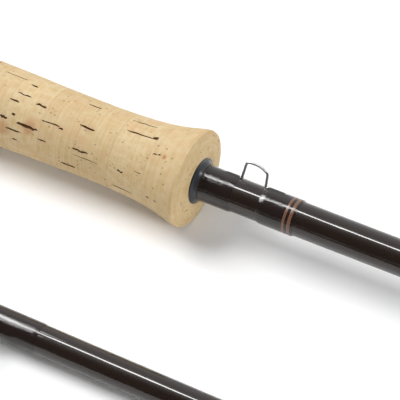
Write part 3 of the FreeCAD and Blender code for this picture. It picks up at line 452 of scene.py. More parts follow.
def pit_finish():
    """The inside of a pit: dark brown bark, lighter where the sanding has reached it."""
    made, tree, shader = finish("cork_pit", Roughness=0.9, Specular_IOR_Level=0.1)
    crumbs = mottle(tree, shader, 1800, 3, (0.35, 0.75), (0.045, 0.020, 0.009),
                    (0.20, 0.09, 0.038))
    plug(tree, shader.inputs["Normal"], bump_of(tree, crumbs, 0.1 * MM, 0.7))
    return made


def pit_cutter(bm, axis, x, turn, surface, length, width, depth, seed):
    """A ragged lens along the rod that follows the surface and reaches a little into it."""
    made = bmesh.ops.create_icosphere(bm, subdivisions=3 if length > 2 * MM else 2, radius=1.0)
    outwards = Vector((0, math.sin(turn), math.cos(turn)))
    sideways = Vector((0, math.cos(turn), -math.sin(turn)))
    centre = Vector((0, axis.y, axis.z))
    for vert in made["verts"]:
        local = vert.co.copy()
        along = x + local.x * length / 2
        blunt = max(0.25, 1 - local.x ** 2) ** -0.25
        ragged = 1 + 0.9 * noise.noise(Vector((local.x * 6.5 + seed, local.y * 2, local.z * 2)))
        sway = 0.6 * width * noise.noise(Vector((local.x * 3.4, seed, 0)))
        vert.co = (centre + Vector((along, 0, 0))
                   + sideways * (local.y * width / 2 * ragged * blunt + sway)
                   + outwards * (surface(along) + local.z * depth * (0.8 + 0.4 * ragged)))


def carve(piece, bm, material):
    """Cuts the pits out of a cork piece and lines them with their own material."""
    mesh = bpy.data.meshes.new(f"{piece.name}_pits")
    bm.to_mesh(mesh)
    bm.free()
    mesh.materials.append(material)
    cutter = link_object(f"{piece.name}_pits", mesh)
    cutting = piece.modifiers.new("pits", "BOOLEAN")
    cutting.operation = "DIFFERENCE"
    cutting.solver = "EXACT"
    cutting.use_self = True
    cutting.material_mode = "TRANSFER"
    cutting.object = cutter
    carved = bpy.data.meshes.new_from_object(
        piece.evaluated_get(bpy.context.evaluated_depsgraph_get()))
    piece.modifiers.clear()
    piece.data = carved
    bpy.data.objects.remove(cutter)
    carved.shade_smooth()
    carved.set_sharp_from_angle(angle=math.radians(35))


def grip_radius(behind):
    """The grip's radius, in millimetres, that far behind its front face."""
    for (start, first), (end, second) in zip(grip_line, grip_line[1:]):
        if start <= behind <= end:
            return first + (second - first) * (behind - start) / (end - start)
    return grip_line[-1][1]


def grip_surface(x):
    return grip_radius((GRIP_FRONT - x) / MM) * MM


grip_line = list(smooth_through(GRIP_SHAPE, 1.2))
grip_bore = blank_radius("butt_blank", GRIP_FRONT) + 0.05 * MM
outline = [(GRIP_FRONT - behind * MM, radius * MM) for behind, radius in grip_line]
outline += [(GRIP_REAR, 8 * MM), (GRIP_REAR, grip_bore), (FACE, grip_bore),
            (FACE, 7 * MM), (FACE - 0.5 * MM, 10 * MM), (FACE - 0.95 * MM, 13 * MM),
            (FACE - 1.2 * MM, 14.8 * MM)]
bm = bmesh.new()
lathe(bm, outline, BUTT_AXIS, 144)
FACE_DOTS = [  # up and down the face, then across it, in mm from the axis, and the dot's size
    (14.1, 0.3, 0.45), (13.3, -4.7, 0.45), (10.9, -7.1, 0.35), (5.0, 2.1, 0.5), (-8.5, 6.7, 0.3),
    (-9.9, -4.7, 0.4), (-9.5, -9.2, 0.4), (-10.2, 1.2, 0.32), (-9.95, 0.88, 0.34),
    (-9.65, 0.5, 0.34), (-9.35, 0.15, 0.3), (0.5, 8.8, 0.3), (8.0, 6.5, 0.25), (-4.2, 9.6, 0.25),
]
face_up = Vector((0, 0.738, 0.676))
face_across = Vector((0, -0.676, 0.738))
stains = [(Vector((0, BUTT_AXIS.y, BUTT_AXIS.z)) + (face_up * up + face_across * across) * MM,
           size * MM, 0.85, (0.11, 0.055, 0.028, 1)) for up, across, size in FACE_DOTS]
for behind, lean, size, strength in ((6.1, 32, 1.0, 0.75), (52.0, 60, 3.4, 0.5),
                                     (60.5, 74, 3.2, 0.4), (33.0, 30, 2.0, 0.3)):
    stains.append((next(leaned(BUTT_AXIS, -math.radians(lean), [
        (GRIP_FRONT - behind * MM, 0, grip_radius(behind) * MM)])), size * MM, strength,
        (0.42, 0.15, 0.055, 1)))
cork = cork_finish("grip_cork", BUTT_AXIS, GRIP_FRONT, stains)
pit_lining = pit_finish()
grip = as_piece("cork_grip_turned", bm, [cork, pit_lining], HANDLE, ["cork_grip"])

MAIN_PITS = [  # behind the front face, turn towards -Y in degrees, length, width, in mm
    (35.3, -10, 4.2, 0.45), (18.3, -10, 9.0, 0.35), (16.4, 12, 11.4, 0.42), (11.9, 10, 1.8, 0.8),
    (33.5, 30, 4.8, 0.62), (33.3, 66, 5.0, 0.6), (31.0, 75, 8.0, 0.22), (37.2, 99, 4.6, 0.7),
    (44.8, 43, 5.8, 0.42), (41.2, 45, 1.5, 0.5), (46.3, 72, 2.8, 0.42), (50.0, 24, 3.4, 0.7),
    (56.6, 18, 4.4, 0.42), (55.8, -3, 2.2, 0.6), (62.9, -9, 7.6, 0.25), (58.6, 31, 3.0, 0.5),
    (57.2, 50, 1.2, 0.7), (52.0, 60, 6.8, 0.95), (60.2, 58, 2.4, 0.8), (56.4, 72, 4.6, 0.5),
    (55.6, 87, 1.6, 0.5), (19.1, 72, 2.2, 0.55), (13.0, 63, 2.4, 0.24), (18.4, 103, 7.5, 0.42),
    (9.3, 32, 1.6, 0.3), (8.0, 31, 0.8, 0.5), (8.6, 92, 1.1, 0.5), (5.7, 91, 1.4, 0.3),
]
SPREAD_FROM = 18
PIT_SPREAD = 1.022
STRETCH_FROM = 20
PIT_STRETCH = 1.12
SMALL_PITS = 150

# The main pits cover the part of the grip that the close view shows. The small ones leave it.
# Away from the face the main pits spread apart a little, and run longer, than they are listed.
rng = random.Random(7)
pits = bmesh.new()
for index, (behind, lean, length, width) in enumerate(MAIN_PITS):
    if behind > STRETCH_FROM:
        length = round(length * PIT_STRETCH, 1)
    if behind > SPREAD_FROM:
        behind = round(SPREAD_FROM + (behind - SPREAD_FROM) * PIT_SPREAD, 1)
    pit_cutter(pits, BUTT_AXIS, GRIP_FRONT - behind * MM, -math.radians(lean),
               grip_surface, length * MM, width * MM, 0.4 * MM, index * 1.7)
for index in range(SMALL_PITS):
    behind = rng.uniform(3, 176)
    lean = rng.uniform(-180, 180)
    length = rng.choice((0.9, 1.4, 2.2, 3.4, 5.0)) * rng.uniform(0.7, 1.2)
    width = rng.uniform(0.28, 0.6) * (0.8 + 0.08 * length)
    in_view = behind < 68 and -60 < lean < 130
    if not in_view:
        pit_cutter(pits, BUTT_AXIS, GRIP_FRONT - behind * MM, -math.radians(lean),
                   grip_surface, length * MM, width * MM, 0.35 * MM, index * 2.3)
carve(grip, pits, pit_lining)


# ---- Winding check ----
# A moulded collar pushed down the blank against the cork. Its thin edge covers the joint, and
# the epoxy of the first thread wrap runs a little way over its narrow end.
CHECK_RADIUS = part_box("winding_check")[1].y - BUTT_AXIS.y
CHECK_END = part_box("winding_check")[1].x


def slate_finish():
    """Dark slate plastic, satin, with a faint mottle from the mould."""
    made, tree, shader = finish("slate_plastic", Roughness=0.33, Specular_IOR_Level=0.45,
                                Coat_Weight=0.2, Coat_Roughness=0.15)
    cloud = mottle(tree, shader, 700, 4, (0.35, 0.7), (0.017, 0.020, 0.025),
                   (0.028, 0.032, 0.039))
    plug(tree, shader.inputs["Roughness"], ramp_of(tree, cloud, 0.3, 0.7, 0.27, 0.42))
    plug(tree, shader.inputs["Normal"], bump_of(tree, cloud, 0.03 * MM, 0.5))
    return made


neck = blank_radius("butt_blank", CHECK_END)
outline = [(FACE, neck - 0.1 * MM), (FACE - 0.05 * MM, CHECK_RADIUS - 0.15 * MM),
           (FACE + 0.08 * MM, CHECK_RADIUS)]
for part in range(9):
    turn = math.pi / 2 * part / 8
    outline.append((CHECK_END - (CHECK_END - FACE - 0.28 * MM) * math.cos(turn) ** 0.9,
                    CHECK_RADIUS - (CHECK_RADIUS - neck - 0.25 * MM) * math.sin(turn)))
outline += [(CHECK_END + 0.1 * MM, neck + 0.12 * MM), (CHECK_END + 0.1 * MM, neck - 0.1 * MM)]
bm = bmesh.new()
lathe(bm, outline, BUTT_AXIS, 96)
as_piece("winding_check_collar", bm, [slate_finish()], HANDLE,
         ["winding_check"], 50)


# ---- Thread wraps ----
# Nylon thread wound tight round the blank and buried in clear epoxy, which ends in a rounded
# lip. Three small beads of epoxy are left where the first wrap meets the check.
WRAP = 0.30 * MM
THREAD_PITCH = 0.19 * MM


def thread_finish(name, axis, dark, light, thread_shows=0.35):
    """Wound thread under a thick clear coat, so the ridges show but the surface is smooth."""
    made, tree, shader = finish(name, Roughness=0.5, Coat_Weight=1.0, Coat_Roughness=0.02,
                                Coat_IOR=1.54, Specular_IOR_Level=0.06)
    along, turn, _ = round_it(tree, axis)
    winding = math_of(tree, "ADD", math_of(tree, "DIVIDE", along, THREAD_PITCH),
                      math_of(tree, "DIVIDE", turn, 2 * math.pi))
    ridge = math_of(tree, "PINGPONG", winding, 0.5)
    cloud = node(tree, "TexNoise", Scale=260, Detail=3)
    tone = blend_of(tree, ramp_of(tree, cloud.outputs[0], 0.3, 0.7), dark, light)
    tone = blend_of(tree, ramp_of(tree, ridge, 0.0, 0.5, 0.0, thread_shows), tone, light)
    plug(tree, shader.inputs["Base Color"], tone)
    plug(tree, shader.inputs["Normal"], bump_of(tree, ridge, 0.06 * MM, 0.6))
    plug(tree, shader.inputs["Coat Normal"], bump_of(tree, node(
        tree, "TexNoise", Scale=120, Detail=1).outputs[0], 0.05 * MM, 0.3))
    return made


def wrap_outline(name, start, end, height, lip=0.6 * MM, rise=0.05, over=()):
    """The section of one wrap: rounded lips, a slight crown, and any run over a collar."""
    count = max(10, min(40, round((end - start) / (0.9 * MM))))
    points = list(over)
    for part in range(count + 1):
        x = start + (end - start) * part / count
        near = min(1, (end - x if over else min(x - start, end - x)) / lip)
        lift = math.sqrt(max(0.0, 1 - (1 - near) ** 2))
        crown = 1 + rise * math.sin(math.pi * part / count)
        points.append((x, blank_radius(name, x) + height * (0.12 + 0.88 * lift) * crown))
    bore = blank_radius(name, (start + end) / 2) - 0.25 * MM
    return points + [(end, bore), (points[0][0], bore)]


def ridge_over(bm, axis, turn, start, end, height, half_width, core):
    """Raises the wrap outside the core where a foot lies along the blank under the thread."""
    for vert in bm.verts:
        across, up = vert.co.y - axis.y, vert.co.z - axis.z
        radius = math.hypot(across, up)
        gap = (math.atan2(across, up) - turn + math.pi) % (2 * math.pi) - math.pi
        inside = min(vert.co.x - start, end - vert.co.x) / (1.5 * MM)
        lift = height * math.exp(-(gap * radius / half_width) ** 2) * min(1, max(0, inside))
        if lift > 0.005 * MM and radius > core:
            vert.co.y += across / radius * lift
            vert.co.z += up / radius * lift


KEEPER_LEAN = math.radians(27)
REAR_WRAP = (CHECK_END + 0.02 * MM, GRIP_FRONT + 14.5 * MM)
FRONT_WRAP = (GRIP_FRONT + 23.3 * MM, GRIP_FRONT + 35.6 * MM)
SPIGOT_WRAP = (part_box("butt_blank")[1].x - 66 * MM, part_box("butt_blank")[1].x - 56 * MM)
BANDS = [(GRIP_FRONT + 32.1 * MM, GRIP_FRONT + 33.2 * MM),
         (GRIP_FRONT + 33.8 * MM, GRIP_FRONT + 35.0 * MM)]
wrap_dark = thread_finish("brown_thread", BUTT_AXIS, (0.006, 0.0025, 0.0018, 1),
                          (0.014, 0.0055, 0.0035, 1))
bm = bmesh.new()
over_check = [(CHECK_END + x * MM, neck + rise * MM)
              for x, rise in ((-1.5, 0.44), (-1.4, 0.49), (-1.0, 0.42), (-0.5, 0.36))]
lathe(bm, wrap_outline("butt_blank", *REAR_WRAP, WRAP, rise=0.1, over=over_check), BUTT_AXIS, 128)
lathe(bm, wrap_outline("butt_blank", *FRONT_WRAP, WRAP), BUTT_AXIS, 128)
wrap_core = blank_radius("butt_blank", REAR_WRAP[0])
for start, end in ((GRIP_FRONT + 8.4 * MM, REAR_WRAP[1] + 1.5 * MM),
                   (FRONT_WRAP[0] - 1.5 * MM, GRIP_FRONT + 30.2 * MM)):
    ridge_over(bm, BUTT_AXIS, KEEPER_LEAN, start, end, 0.30 * MM, 0.8 * MM, wrap_core)
for x, turn, size in ((-1.0, -23, 0.28), (-0.5, -34, 0.42), (-1.7, -18, 0.2)):
    bead = next(leaned(BUTT_AXIS, math.radians(turn), [(CHECK_END + x * MM, 0, neck + 0.62 * MM)]))
    bmesh.ops.create_icosphere(bm, subdivisions=3, radius=size * MM,
                               matrix=Matrix.Translation(bead))
lathe(bm, wrap_outline("butt_blank", *SPIGOT_WRAP, WRAP), BUTT_AXIS, 96)
as_piece("butt_thread_wraps", bm, [wrap_dark], HANDLE, ["butt_wraps"], 60)

# Two copper bands lie in the front end of the front wrap, a little proud of the brown thread.
copper = thread_finish("copper_thread", BUTT_AXIS, (0.10, 0.038, 0.020, 1),
                       (0.20, 0.095, 0.055, 1), 0.8)
bm = bmesh.new()
for start, end in BANDS:
    lathe(bm, wrap_outline("butt_blank", start, end, WRAP * 1.16, 0.25 * MM, 0.0), BUTT_AXIS, 128)
as_piece("copper_trim_bands", bm, [copper], HANDLE, ["trim_bands"], 60)


# ---- Hook keeper ----
# A loop of drawn steel wire, bent by hand. Its two feet lie along the blank under the wraps.
KEEPER_RADIUS = 0.41 * MM


def wire_mesh(name, runs, radius, sides=10):
    """Round wire along smooth lines, with closed ends, as one mesh."""
    curve = bpy.data.curves.new(name, "CURVE")
    curve.dimensions = "3D"
    curve.bevel_depth = radius
    curve.bevel_resolution = (sides - 4) // 2
    curve.use_fill_caps = True
    curve.resolution_u = 6
    for points in runs:
        spline = curve.splines.new("NURBS")
        spline.points.add(len(points) - 1)
        for place, point in zip(spline.points, points):
            place.co = (*point, 1)
        spline.order_u = 3
        spline.use_endpoint_u = True
    holder = link_object(name, curve)
    mesh = bpy.data.meshes.new_from_object(
        holder.evaluated_get(bpy.context.evaluated_depsgraph_get()))
    bpy.data.objects.remove(holder)
    return mesh


def wire_piece(name, meshes, material, body, replaced):
    """One piece from wires and solids that are brazed together."""
    bm = bmesh.new()
    for mesh in meshes:
        bm.from_mesh(mesh)
    return as_piece(name, bm, [material], body, replaced, 45)


def steel_finish(name, tone, rough):
    """Bright or dark steel with fine drawing marks and a little smoke in its shine."""
    made, tree, shader = finish(name, Metallic=1.0, Roughness=rough)
    mottle(tree, shader, 150, 3, (0.3, 0.7), tuple(part * 0.82 for part in tone), tone)
    marks = node(tree, "TexNoise", Scale=4500, Detail=2)
    plug(tree, shader.inputs["Roughness"], ramp_of(
        tree, marks.outputs[0], 0.3, 0.75, rough * 0.75, rough * 1.35))
    plug(tree, shader.inputs["Normal"], bump_of(tree, marks.outputs[0], 0.01 * MM, 0.4))
    return made


level = blank_radius("butt_blank", GRIP_FRONT + 18 * MM) + 0.12 * MM
KEEPER_LINE = [  # distance in front of the last full ring and height above the axis, in mm
    (8.6, None), (12.0, None), (13.9, None), (14.6, None), (14.75, 6.4), (14.9, 8.2),
    (15.0, 9.8), (15.15, 10.75), (16.4, 11.05), (18.2, 11.05), (20.0, 10.75), (21.5, 10.1),
    (22.35, 9.55), (22.5, 8.2), (22.6, 6.9), (22.7, None), (23.6, None), (26.0, None),
    (29.9, None),
]
line = [(GRIP_FRONT + x * MM, 0, level if height is None else height * MM)
        for x, height in KEEPER_LINE]
keeper_steel = steel_finish("keeper_steel", (0.42, 0.42, 0.43), 0.3)
wire_piece("hook_keeper_wire", [wire_mesh(
    "keeper", [list(leaned(BUTT_AXIS, KEEPER_LEAN, line))], KEEPER_RADIUS, sides=14)],
    keeper_steel, HANDLE, ["hook_keeper"])


# ---- Butt cap, fighting butt and end ring ----
# A moulded rubber cap, a short cork butt on a spigot, and the aluminium ring that carries both.
def rubber_finish():
    """Moulded black rubber with a fine grit and a little dust."""
    made, tree, shader = finish("black_rubber", Roughness=0.62, Specular_IOR_Level=0.35)
    grit = node(tree, "TexNoise", Scale=2600, Detail=3)
    dust = mottle(tree, shader, 160, 4, (0.4, 0.8), (0.012, 0.012, 0.013),
                  (0.030, 0.029, 0.028))
    plug(tree, shader.inputs["Roughness"], ramp_of(tree, dust, 0.3, 0.8, 0.5, 0.75))
    plug(tree, shader.inputs["Normal"], bump_of(tree, grit.outputs[0], 0.05 * MM, 0.5))
    return made


def metal_finish(name, tone, rough, centre=None):
    """Anodised or bare metal. A centre gives it turning marks about an upright axle."""
    made, tree, shader = finish(name, Metallic=1.0, Roughness=rough)
    mottle(tree, shader, 90, 3, (0.3, 0.75), tone, tuple(part * 1.35 for part in tone))
    if centre is None:
        height = node(tree, "TexNoise", Scale=5200, Detail=2).outputs[0]
    else:
        place = node(tree, "SeparateXYZ", Vector=node(tree, "TexCoord").outputs["Object"])
        across = math_of(tree, "SUBTRACT", place.outputs["X"], centre.x)
        along = math_of(tree, "SUBTRACT", place.outputs["Y"], centre.y)
        reach = math_of(tree, "SQRT", math_of(tree, "ADD", math_of(
            tree, "MULTIPLY", across, across), math_of(tree, "MULTIPLY", along, along)))
        height = node(tree, "TexNoise", {"noise_dimensions": "2D"}, Detail=3, Vector=node(
            tree, "CombineXYZ", X=math_of(tree, "MULTIPLY", reach, 5200),
            Y=math_of(tree, "MULTIPLY", place.outputs["Z"], 900)).outputs[0]).outputs[0]
    plug(tree, shader.inputs["Roughness"], ramp_of(
        tree, height, 0.3, 0.7, rough * 0.8, rough * 1.25))
    plug(tree, shader.inputs["Normal"], bump_of(tree, height, 0.015 * MM, 0.5))
    return made


def rounded_by(outline, corner):
    """The same outline with a short bevel at each corner, so that edges catch the light."""
    points = []
    for before, here, after in zip(outline[-1:] + outline[:-1], outline, outline[1:] + outline[:1]):
        here = Vector(here)
        for other in (before, after):
            away = Vector(other) - here
            points.append(tuple(here + away.normalized() * min(corner, away.length * 0.35)))
    return points


def from_end(start, points):
    """An outline from distances past start and radii, both given in millimetres."""
    return [(start + x * MM, radius * MM) for x, radius in points]


BUTT_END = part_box("butt_cap")[0].x
CAP_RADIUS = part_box("butt_cap")[1].y - BUTT_AXIS.y
CAP_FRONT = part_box("butt_cap")[1].x
bm = bmesh.new()
outline = from_end(BUTT_END, [(0.9, 0.01), (0.9, 4.6), (0.1, 5.2), (0, 6.0), (0, 8.2),
                              (0.6, 10.3), (1.8, 11.8)])
outline += [(BUTT_END + 3.2 * MM, CAP_RADIUS - 0.2 * MM), (BUTT_END + 4.2 * MM, CAP_RADIUS)]
for groove in (5.2, 6.5):
    outline += [(BUTT_END + (groove - 0.25) * MM, CAP_RADIUS),
                (BUTT_END + groove * MM, CAP_RADIUS - 0.4 * MM),
                (BUTT_END + (groove + 0.25) * MM, CAP_RADIUS)]
outline += [(CAP_FRONT - 0.3 * MM, CAP_RADIUS), (CAP_FRONT, CAP_RADIUS - 0.3 * MM),
            (CAP_FRONT, 4.05 * MM), (CAP_FRONT - 3 * MM, 4.05 * MM),
            (CAP_FRONT - 3 * MM, 0.01 * MM)]
lathe(bm, outline, BUTT_AXIS, 96)
as_piece("butt_cap_rubber", bm, [rubber_finish()], HANDLE, ["butt_cap"])

BUTT_LOW, BUTT_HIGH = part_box("fighting_butt")
BUTT_PITS = 26
BUTT_SHAPE = [(0.0, 12.45), (0.5, 12.6), (6, 12.75), (14, 12.5), (22, 12.0), (30, 11.4),
              (35.5, 11.05), (36, 10.85)]


def butt_surface(x):
    return (12.75 - abs(x - BUTT_LOW.x - 6 * MM) / MM * 0.05) * MM


outline = from_end(BUTT_LOW.x, smooth_through(BUTT_SHAPE, 1.5))
outline += [(BUTT_HIGH.x, 4.03 * MM), (BUTT_LOW.x, 4.03 * MM)]
bm = bmesh.new()
lathe(bm, outline, BUTT_AXIS, 96)
fighting = as_piece("fighting_butt_cork", bm, [cork_finish(
    "butt_cork", BUTT_AXIS, BUTT_HIGH.x), pit_lining], HANDLE, ["fighting_butt"])
pits = bmesh.new()
for index in range(BUTT_PITS):
    x = BUTT_LOW.x + rng.uniform(2, 34) * MM
    pit_cutter(pits, BUTT_AXIS, x, rng.uniform(-math.pi, math.pi),
               butt_surface, rng.uniform(0.8, 5) * MM,
               rng.uniform(0.3, 0.7) * MM, 0.45 * MM, index * 1.3)
carve(fighting, pits, pit_lining)

black_metal = metal_finish("black_anodised", (0.020, 0.021, 0.023), 0.34)
RING_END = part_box("butt_end_ring")[1].x - 2 * MM
bm = bmesh.new()
outline = from_end(BUTT_LOW.x, [(-5.9, 0.01), (-5.9, 3.95)])
outline += from_end(BUTT_HIGH.x, [(0.02, 3.95), (0.02, 10.6), (1.6, 10.9), (2.3, 10.2),
                                  (3.0, 10.9)])
outline += from_end(RING_END, [(0, 10.3), (0, 7.35), (2, 7.35), (2, 0.01)])
lathe(bm, rounded_by(outline, 0.22 * MM), BUTT_AXIS, 96)
as_piece("butt_end_ring_turned", bm, [black_metal], HANDLE,
         ["butt_end_ring"])


# ---- Reel seat barrel ----
# An aluminium tube with a thread cut along its rear half, for the two ring nuts.
SEAT_LOW, SEAT_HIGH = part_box("seat_barrel")
SEAT_RADIUS = SEAT_HIGH.y - BUTT_AXIS.y
SEAT_BORE = 7.42 * MM
PITCH = 1.5 * MM
THREAD_START = SEAT_LOW.x + 3 * MM
THREAD_TURNS = 31
bm = bmesh.new()
THREAD_STEPS = 48
profile = [(0.0, 0.0), (0.30, 0.0), (0.62, 0.55), (0.88, 0.55), (1.20, 0.0), (1.5, 0.0)]
ring = [bm.verts.new((THREAD_START + x * MM, BUTT_AXIS.y,
                      BUTT_AXIS.z + SEAT_RADIUS - 0.02 * MM - depth * MM))
        for x, depth in profile]
edges = [bm.edges.new(pair) for pair in zip(ring, ring[1:])]
bmesh.ops.spin(bm, geom=ring + edges, cent=BUTT_AXIS, axis=(1, 0, 0),
               angle=2 * math.pi * THREAD_TURNS, steps=THREAD_STEPS * THREAD_TURNS,
               dvec=(PITCH / THREAD_STEPS, 0, 0))
bmesh.ops.remove_doubles(bm, verts=bm.verts, dist=0.005 * MM)
THREAD_END = THREAD_START + (THREAD_TURNS - 1) * PITCH
for place, way in ((THREAD_START + PITCH * 1.1, -1), (THREAD_END, 1)):
    cut = bmesh.ops.bisect_plane(bm, geom=bm.verts[:] + bm.edges[:] + bm.faces[:],
                                 plane_co=(place, 0, 0), plane_no=(way, 0, 0), clear_outer=True)
    rim = [part for part in cut["geom_cut"] if isinstance(part, bmesh.types.BMEdge)]
    bmesh.ops.contextual_create(bm, geom=rim)
lathe(bm, rounded_by([
    (SEAT_LOW.x, SEAT_BORE), (SEAT_LOW.x, SEAT_RADIUS - 0.1 * MM),
    (THREAD_START + PITCH * 1.2, SEAT_RADIUS - 0.1 * MM),
    (THREAD_START + PITCH * 1.2, SEAT_BORE)], 0.15 * MM), BUTT_AXIS, 96)
lathe(bm, rounded_by([
    (THREAD_END - 0.1 * MM, SEAT_BORE), (THREAD_END - 0.1 * MM, SEAT_RADIUS),
    (SEAT_HIGH.x, SEAT_RADIUS), (SEAT_HIGH.x, SEAT_BORE)], 0.2 * MM), BUTT_AXIS, 96)
as_piece("seat_barrel_threaded", bm, [black_metal], HANDLE,
         ["seat_barrel"], 25)


# ---- Ring nuts ----
# Two knurled aluminium nuts on the barrel. The lock nut pushes the sliding hood up, and the
# jam nut behind it keeps it from working loose.
KNURLS = 44
KNURL_DEPTH = 0.14 * MM
KNURL_LENGTH = 0.62 * MM
for name in ("lock_nut", "jam_nut"):
    low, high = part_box(name)
    radius = high.y - BUTT_AXIS.y
    rims = [(low.x, SEAT_RADIUS + 0.1 * MM), (low.x, radius - 0.7 * MM),
            (low.x + 0.4 * MM, radius - 0.3 * MM), (low.x + 1.1 * MM, radius - 0.3 * MM)]
    band = [(low.x + (1.3 + 0.31 * step) * MM, radius - KNURL_DEPTH) for step in range(15)]
    back = [(low.x + high.x - x, reach) for x, reach in reversed(rims)]
    bm = bmesh.new()
    lathe(bm, rims + band + back, BUTT_AXIS, KNURLS * 4)
    for vert in bm.verts:
        across, up = vert.co.y - BUTT_AXIS.y, vert.co.z - BUTT_AXIS.z
        reach = math.hypot(across, up)
        if abs(reach - radius + KNURL_DEPTH) < 0.01 * MM:
            turn = math.atan2(across, up) * KNURLS
            slant = (vert.co.x - low.x) / KNURL_LENGTH * math.pi / 2
            lift = max(math.cos(turn + slant), math.cos(turn - slant)) * KNURL_DEPTH
            vert.co.y += across / reach * lift
            vert.co.z += up / reach * lift
    as_piece(f"{name}_knurled", bm, [black_metal], name, [name], 70)


# ---- Hoods and reel foot ----
# The hoods are turned and milled from aluminium and hold the two ends of the reel foot. The
# filler arbor inside the seat barrel is hidden, and has a plain finish.

# Which body each imported node belongs to.
BODY_OF = {member: body for body, members in frame["record"]["behaviour"]["bodies"].items()
           for member in members}


def dressed(name, material, corner, segments=2):
    """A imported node's own shape with its coplanar faces joined and its edges rounded."""
    bm = bmesh.new()
    bm.from_mesh(nodes[name].data)
    bmesh.ops.remove_doubles(bm, verts=bm.verts, dist=0.002 * MM)
    bmesh.ops.dissolve_limit(bm, angle_limit=math.radians(0.6), verts=bm.verts[:],
                             edges=bm.edges[:])
    sharp = [edge for edge in bm.edges
             if edge.is_manifold and edge.calc_face_angle(0) > math.radians(32)]
    bmesh.ops.bevel(bm, geom=sharp, offset=corner, offset_type="OFFSET", segments=segments,
                    profile=0.5, affect="EDGES", material=-1, clamp_overlap=True)
    return as_piece(f"{name}_finished", bm, [material], BODY_OF[name], [name], 40)


dressed("sliding_hood", black_metal, 0.3 * MM)
dressed("fixed_hood", black_metal, 0.3 * MM)
dressed("reel_foot", black_metal, 0.35 * MM)


def carry(names, material):
    """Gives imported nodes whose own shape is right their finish."""
    for name in names:
        nodes[name].data.materials.clear()
        nodes[name].data.materials.append(material)


carry(["seat_arbor"], finish("seat_filler")[0])


# ---- Reel ----
# The frame and the spool are machined from bar and anodised gunmetal. The drag under the spool
# is bright alloy, steel and a carbon disc. Two screws hold the foot, and the drag knob is below.
AXLE = middle("spindle")
gunmetal = metal_finish("gunmetal_anodised", (0.085, 0.088, 0.095), 0.30, AXLE)
spool_grey = metal_finish("spool_anodised", (0.16, 0.165, 0.175), 0.27, AXLE)
bright_alloy = metal_finish("bright_anodised", (0.46, 0.47, 0.49), 0.28, AXLE)
machine_steel = metal_finish("machined_steel", (0.52, 0.52, 0.53), 0.25, AXLE)
for name, material, corner in (
        ("reel_frame", gunmetal, 0.25), ("drag_knob", bright_alloy, 0.3),
        ("spool", spool_grey, 0.2), ("spool_cap", gunmetal, 0.2),
        ("counterweight", gunmetal, 0.25), ("spool_latch", machine_steel, 0.12)):
    dressed(name, material, corner * MM)

carry(["spindle", "wear_plate", "thrust_washer", "retaining_ring", "drag_nut",
       "one_way_clutch", "spool_bearing", "handle_post", "foot_screws"], machine_steel)

# The two springs get a steel finish, each on its own copy of its mesh.
SPRING_CORNER = 0.02 * MM
low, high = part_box("latch_spring")
spring = dressed("latch_spring", machine_steel, SPRING_CORNER, 1)
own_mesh(spring)
low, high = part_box("drag_springs")
spring = dressed("drag_springs", machine_steel, SPRING_CORNER, 1)
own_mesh(spring)
carry(["drag_rotor", "drag_cover"], bright_alloy)

made, tree, shader = finish("friction_carbon", Roughness=0.5)
weave = node(tree, "TexChecker", Scale=900, Color1=(0.02, 0.02, 0.02, 1),
             Color2=(0.05, 0.05, 0.052, 1), Vector=node(tree, "TexCoord").outputs["Object"])
plug(tree, shader.inputs["Base Color"], weave.outputs["Color"])
carry(["drag_disc"], made)


# ---- Handle knob ----
# A moulded knob that turns on its post, with a matt skin and a waist for the fingers.
KNOB_LOW, KNOB_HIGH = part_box("handle_knob")
KNOB_AXIS = middle("handle_post")
made, tree, shader = finish("knob_plastic", Roughness=0.42, Specular_IOR_Level=0.4)
skin = node(tree, "TexNoise", Scale=3400, Detail=2)
wear = mottle(tree, shader, 240, 3, (0.35, 0.75), (0.012, 0.012, 0.013), (0.024, 0.024, 0.025))
plug(tree, shader.inputs["Roughness"], ramp_of(tree, wear, 0.3, 0.7, 0.34, 0.5))
plug(tree, shader.inputs["Normal"], bump_of(tree, skin.outputs[0], 0.04 * MM, 0.5))
KNOB_SHAPE = [(0.0, 5.1), (0.35, 5.5), (1.2, 6.05), (2.2, 6.2), (5, 5.65), (9, 5.35), (12.5, 5.7),
              (15.5, 6.45), (17.3, 6.78), (18.6, 6.6), (19.5, 5.95), (19.9, 5.2)]
outline = [(z * MM, radius * MM) for z, radius in smooth_through(KNOB_SHAPE, 0.6)]
outline += [(KNOB_HIGH.z - KNOB_LOW.z - 0.05 * MM, 3.9 * MM), (17.3 * MM, 3.72 * MM),
            (17.3 * MM, 2.3 * MM), (0.0, 2.3 * MM)]
bm = bmesh.new()
ring = [bm.verts.new((KNOB_AXIS.x + radius, KNOB_AXIS.y, KNOB_LOW.z + z))
        for z, radius in outline]
edges = [bm.edges.new(pair) for pair in zip(ring, ring[1:] + ring[:1])]
bmesh.ops.spin(bm, geom=ring + edges, cent=KNOB_AXIS, axis=(0, 0, 1), angle=2 * math.pi,
               steps=64, use_merge=True)
as_piece("handle_knob_moulded", bm, [made], "handle_knob", ["handle_knob"])


